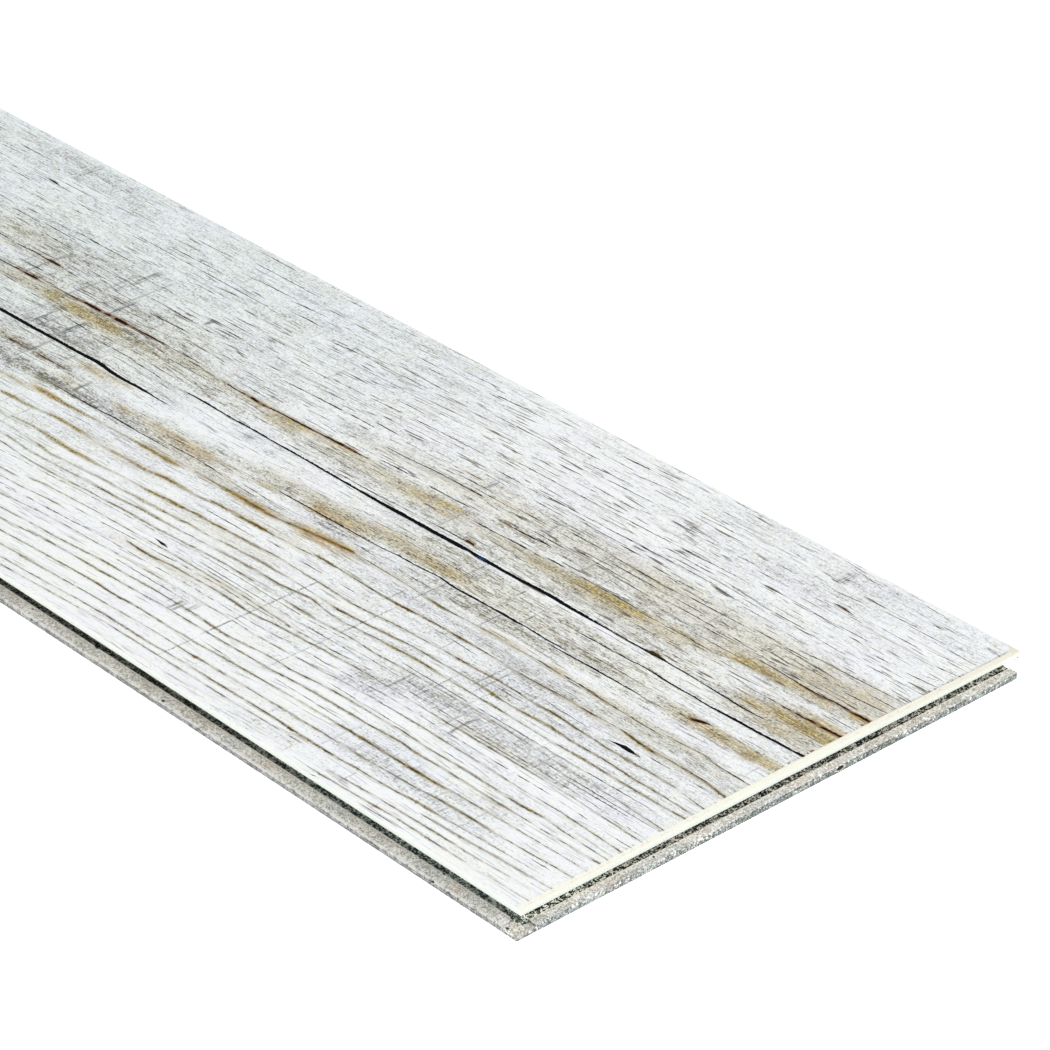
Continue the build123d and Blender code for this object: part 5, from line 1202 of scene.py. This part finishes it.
# White salt-like grit, densest along the end lip, and a few dark grains.
cell = s.voronoi(obj, "F1", 1150.0)
salt = times(s.span(cell.outputs["Distance"], 0.40, 0.26), s.span(s.noise(obj, 1.0, 0.5, scale=430.0), 0.47, 0.57))
salt = times(salt, s.span(xm, 604.0, 610.0, 0.45, 1.0), s.span(zm, 0.3, 0.75, 0.1, 1.0))
col = s.mix(times(salt, 0.85), col, paint(244, 246, 243))
flake_cell = s.voronoi(s.join(s.math("MULTIPLY", ox, 0.8), s.math("MULTIPLY", oy, 1.0), s.math("MULTIPLY", oz, 0.8)), "F1", 760.0)
flake = times(s.span(flake_cell.outputs["Distance"], 0.36, 0.24), s.span(s.noise(obj, 1.0, 0.5, scale=260.0), 0.50, 0.58), s.span(xm, 610.6, 611.6), s.span(zm, 0.7, 1.1))
col = s.mix(times(flake, 0.9), col, paint(248, 249, 245))
pepper_cell = s.voronoi(obj, "F1", 1250.0)
pepper = times(s.span(pepper_cell.outputs["Distance"], 0.30, 0.14), s.span(s.noise(obj, 1.0, 0.5, scale=410.0), 0.54, 0.62))
col = s.mix(times(pepper, 0.75), col, paint(74, 74, 68))
# Cut edges of the lips: painted highlights, a pale line along the inner edge of each bead and a bright line along the
# long lip's outer ridge.
# Painted highlight along the inner edge of the end lip's bead.
painted_highlight_bead_s = times(inside_of(xm, 609.9, 610.3), flat, s.span(n_grit, 0.36, 0.5), 0.7)
col = s.mix(painted_highlight_bead_s, col, paint(236, 230, 214))
# Painted highlight along the inner edge of the long lip's bead.
painted_highlight_bead_l = times(inside_of(ym, -89.75, -89.4), flat, s.span(xm, 609.0, 606.0), 0.8)
col = s.mix(painted_highlight_bead_l, col, paint(212, 205, 189))
# Painted highlight along the outer ridge of the long lip.
painted_highlight_ridge = times(inside_of(ym, -93.3, -92.45), s.span(zm, 1.2, 1.4), s.span(n_grit, 0.34, 0.5), 0.75)
col = s.mix(painted_highlight_ridge, col, paint(224, 224, 218))
# Grooves: speckled core with painted shade.
col = s.mix(groove_short, col, groove_speckle_and_shade_s)
col = s.mix(groove_long, col, groove_speckle_and_shade_l)
rim = s.math("SQRT", total(times(s.math("SUBTRACT", ym, 18.8), s.math("SUBTRACT", ym, 18.8), 0.51), times(s.math("SUBTRACT", zm, 1.2), s.math("SUBTRACT", zm, 1.2), 2.6)))
rim = times(inside_of(rim, 0.9, 1.45, 0.15), s.math("GREATER_THAN", xm, 610.0), s.span(n_grit, 0.38, 0.5), 0.75)
col = s.mix(rim, col, paint(220, 220, 214))
# Faces inside the voids painted near black: painted shade in the hollows.
void_painted_shade = s.t.nodes.new("ShaderNodeAttribute")
void_painted_shade.attribute_type = "GEOMETRY"
void_painted_shade.attribute_name = "hollow"
col = s.mix(times(void_painted_shade.outputs["Fac"], 0.94), col, s.mix(n_grain, paint(20, 16, 10), paint(84, 66, 46)))
s.put(s.bsdf.inputs["Base Color"], col)
s.put(s.bsdf.inputs["Roughness"], s.math("MULTIPLY_ADD", n_grain, 0.2, 0.6))
s.bsdf.inputs["Specular IOR Level"].default_value = 0.15
s.put(s.bsdf.inputs["Normal"], s.bump(total(n_grain, times(n_grit, 0.6)), 0.0002, 0.6))
cut_mesh.materials.clear()
cut_mesh.materials.append(s.mat)
core.data.materials.clear()
core.data.materials.append(s.mat)

# ----------------------------------------------------------------- floor, light
floor_mesh = bpy.data.meshes.new("studio_floor_mesh")
R = 12.0
floor_mesh.from_pydata([(-R, -R, 0), (R, -R, 0), (R, R, 0), (-R, R, 0)], [], [(0, 1, 2, 3)])
floor = bpy.data.objects.new("studio_floor", floor_mesh)
scene.collection.objects.link(floor)
s = Shade("studio_floor_white")
s.bsdf.inputs["Base Color"].default_value = (0.94, 0.94, 0.94, 1.0)
s.bsdf.inputs["Emission Color"].default_value = (1.0, 1.0, 1.0, 1.0)
s.bsdf.inputs["Emission Strength"].default_value = 0.6
s.bsdf.inputs["Roughness"].default_value = 0.9
s.bsdf.inputs["Specular IOR Level"].default_value = 0.0
floor_mesh.materials.append(s.mat)

world = bpy.data.worlds.new("studio_world")
world.use_nodes = True
world.node_tree.nodes["Background"].inputs[0].default_value = (1.0, 1.0, 1.0, 1.0)
world.node_tree.nodes["Background"].inputs[1].default_value = 0.56
scene.world = world


def area_light(name, place, target, size, power):
    data = bpy.data.lights.new(name, "AREA")
    data.shape = "SQUARE"
    data.size = size
    data.energy = power
    lamp = bpy.data.objects.new(name, data)
    scene.collection.objects.link(lamp)
    lamp.location = place
    lamp.rotation_euler = (Vector(target) - Vector(place)).to_track_quat("-Z", "Y").to_euler()
    return lamp


area_light("key_softbox", (3.4, 2.6, 3.2), (0.35, 0.0, 0.0), 2.6, 162.0)
area_light("fill_softbox", (1.3, -4.4, 1.05), (0.4, 0.0, 0.0), 2.0, 100.0)
area_light("top_softbox", (0.4, 0.2, 4.0), (0.4, 0.0, 0.0), 3.0, 16.0)

# --------------------------------------------------------------------- camera
AZ, EL = math.radians(48.1376), math.radians(30.296)
forward = Vector((-math.sin(AZ) * math.cos(EL), math.cos(AZ) * math.cos(EL), -math.sin(EL)))
right = Vector((math.cos(AZ), math.sin(AZ), 0.0))
up = right.cross(forward)
cam_data = bpy.data.cameras.new("photo_camera")
cam_data.sensor_fit = "HORIZONTAL"
cam_data.sensor_width = 36.0
cam_data.lens = 148.643
cam_data.clip_start = 0.05
cam_data.clip_end = 60.0
cam = bpy.data.objects.new("photo_camera", cam_data)
scene.collection.objects.link(cam)
place = Matrix.Identity(4)
for k, axis in enumerate((right, up, -forward)):
    for r in range(3):
        place[r][k] = axis[r]
place[0][3], place[1][3], place[2][3] = 1.255006, -0.6660353, 0.6204277
cam.matrix_world = place
scene.camera = cam
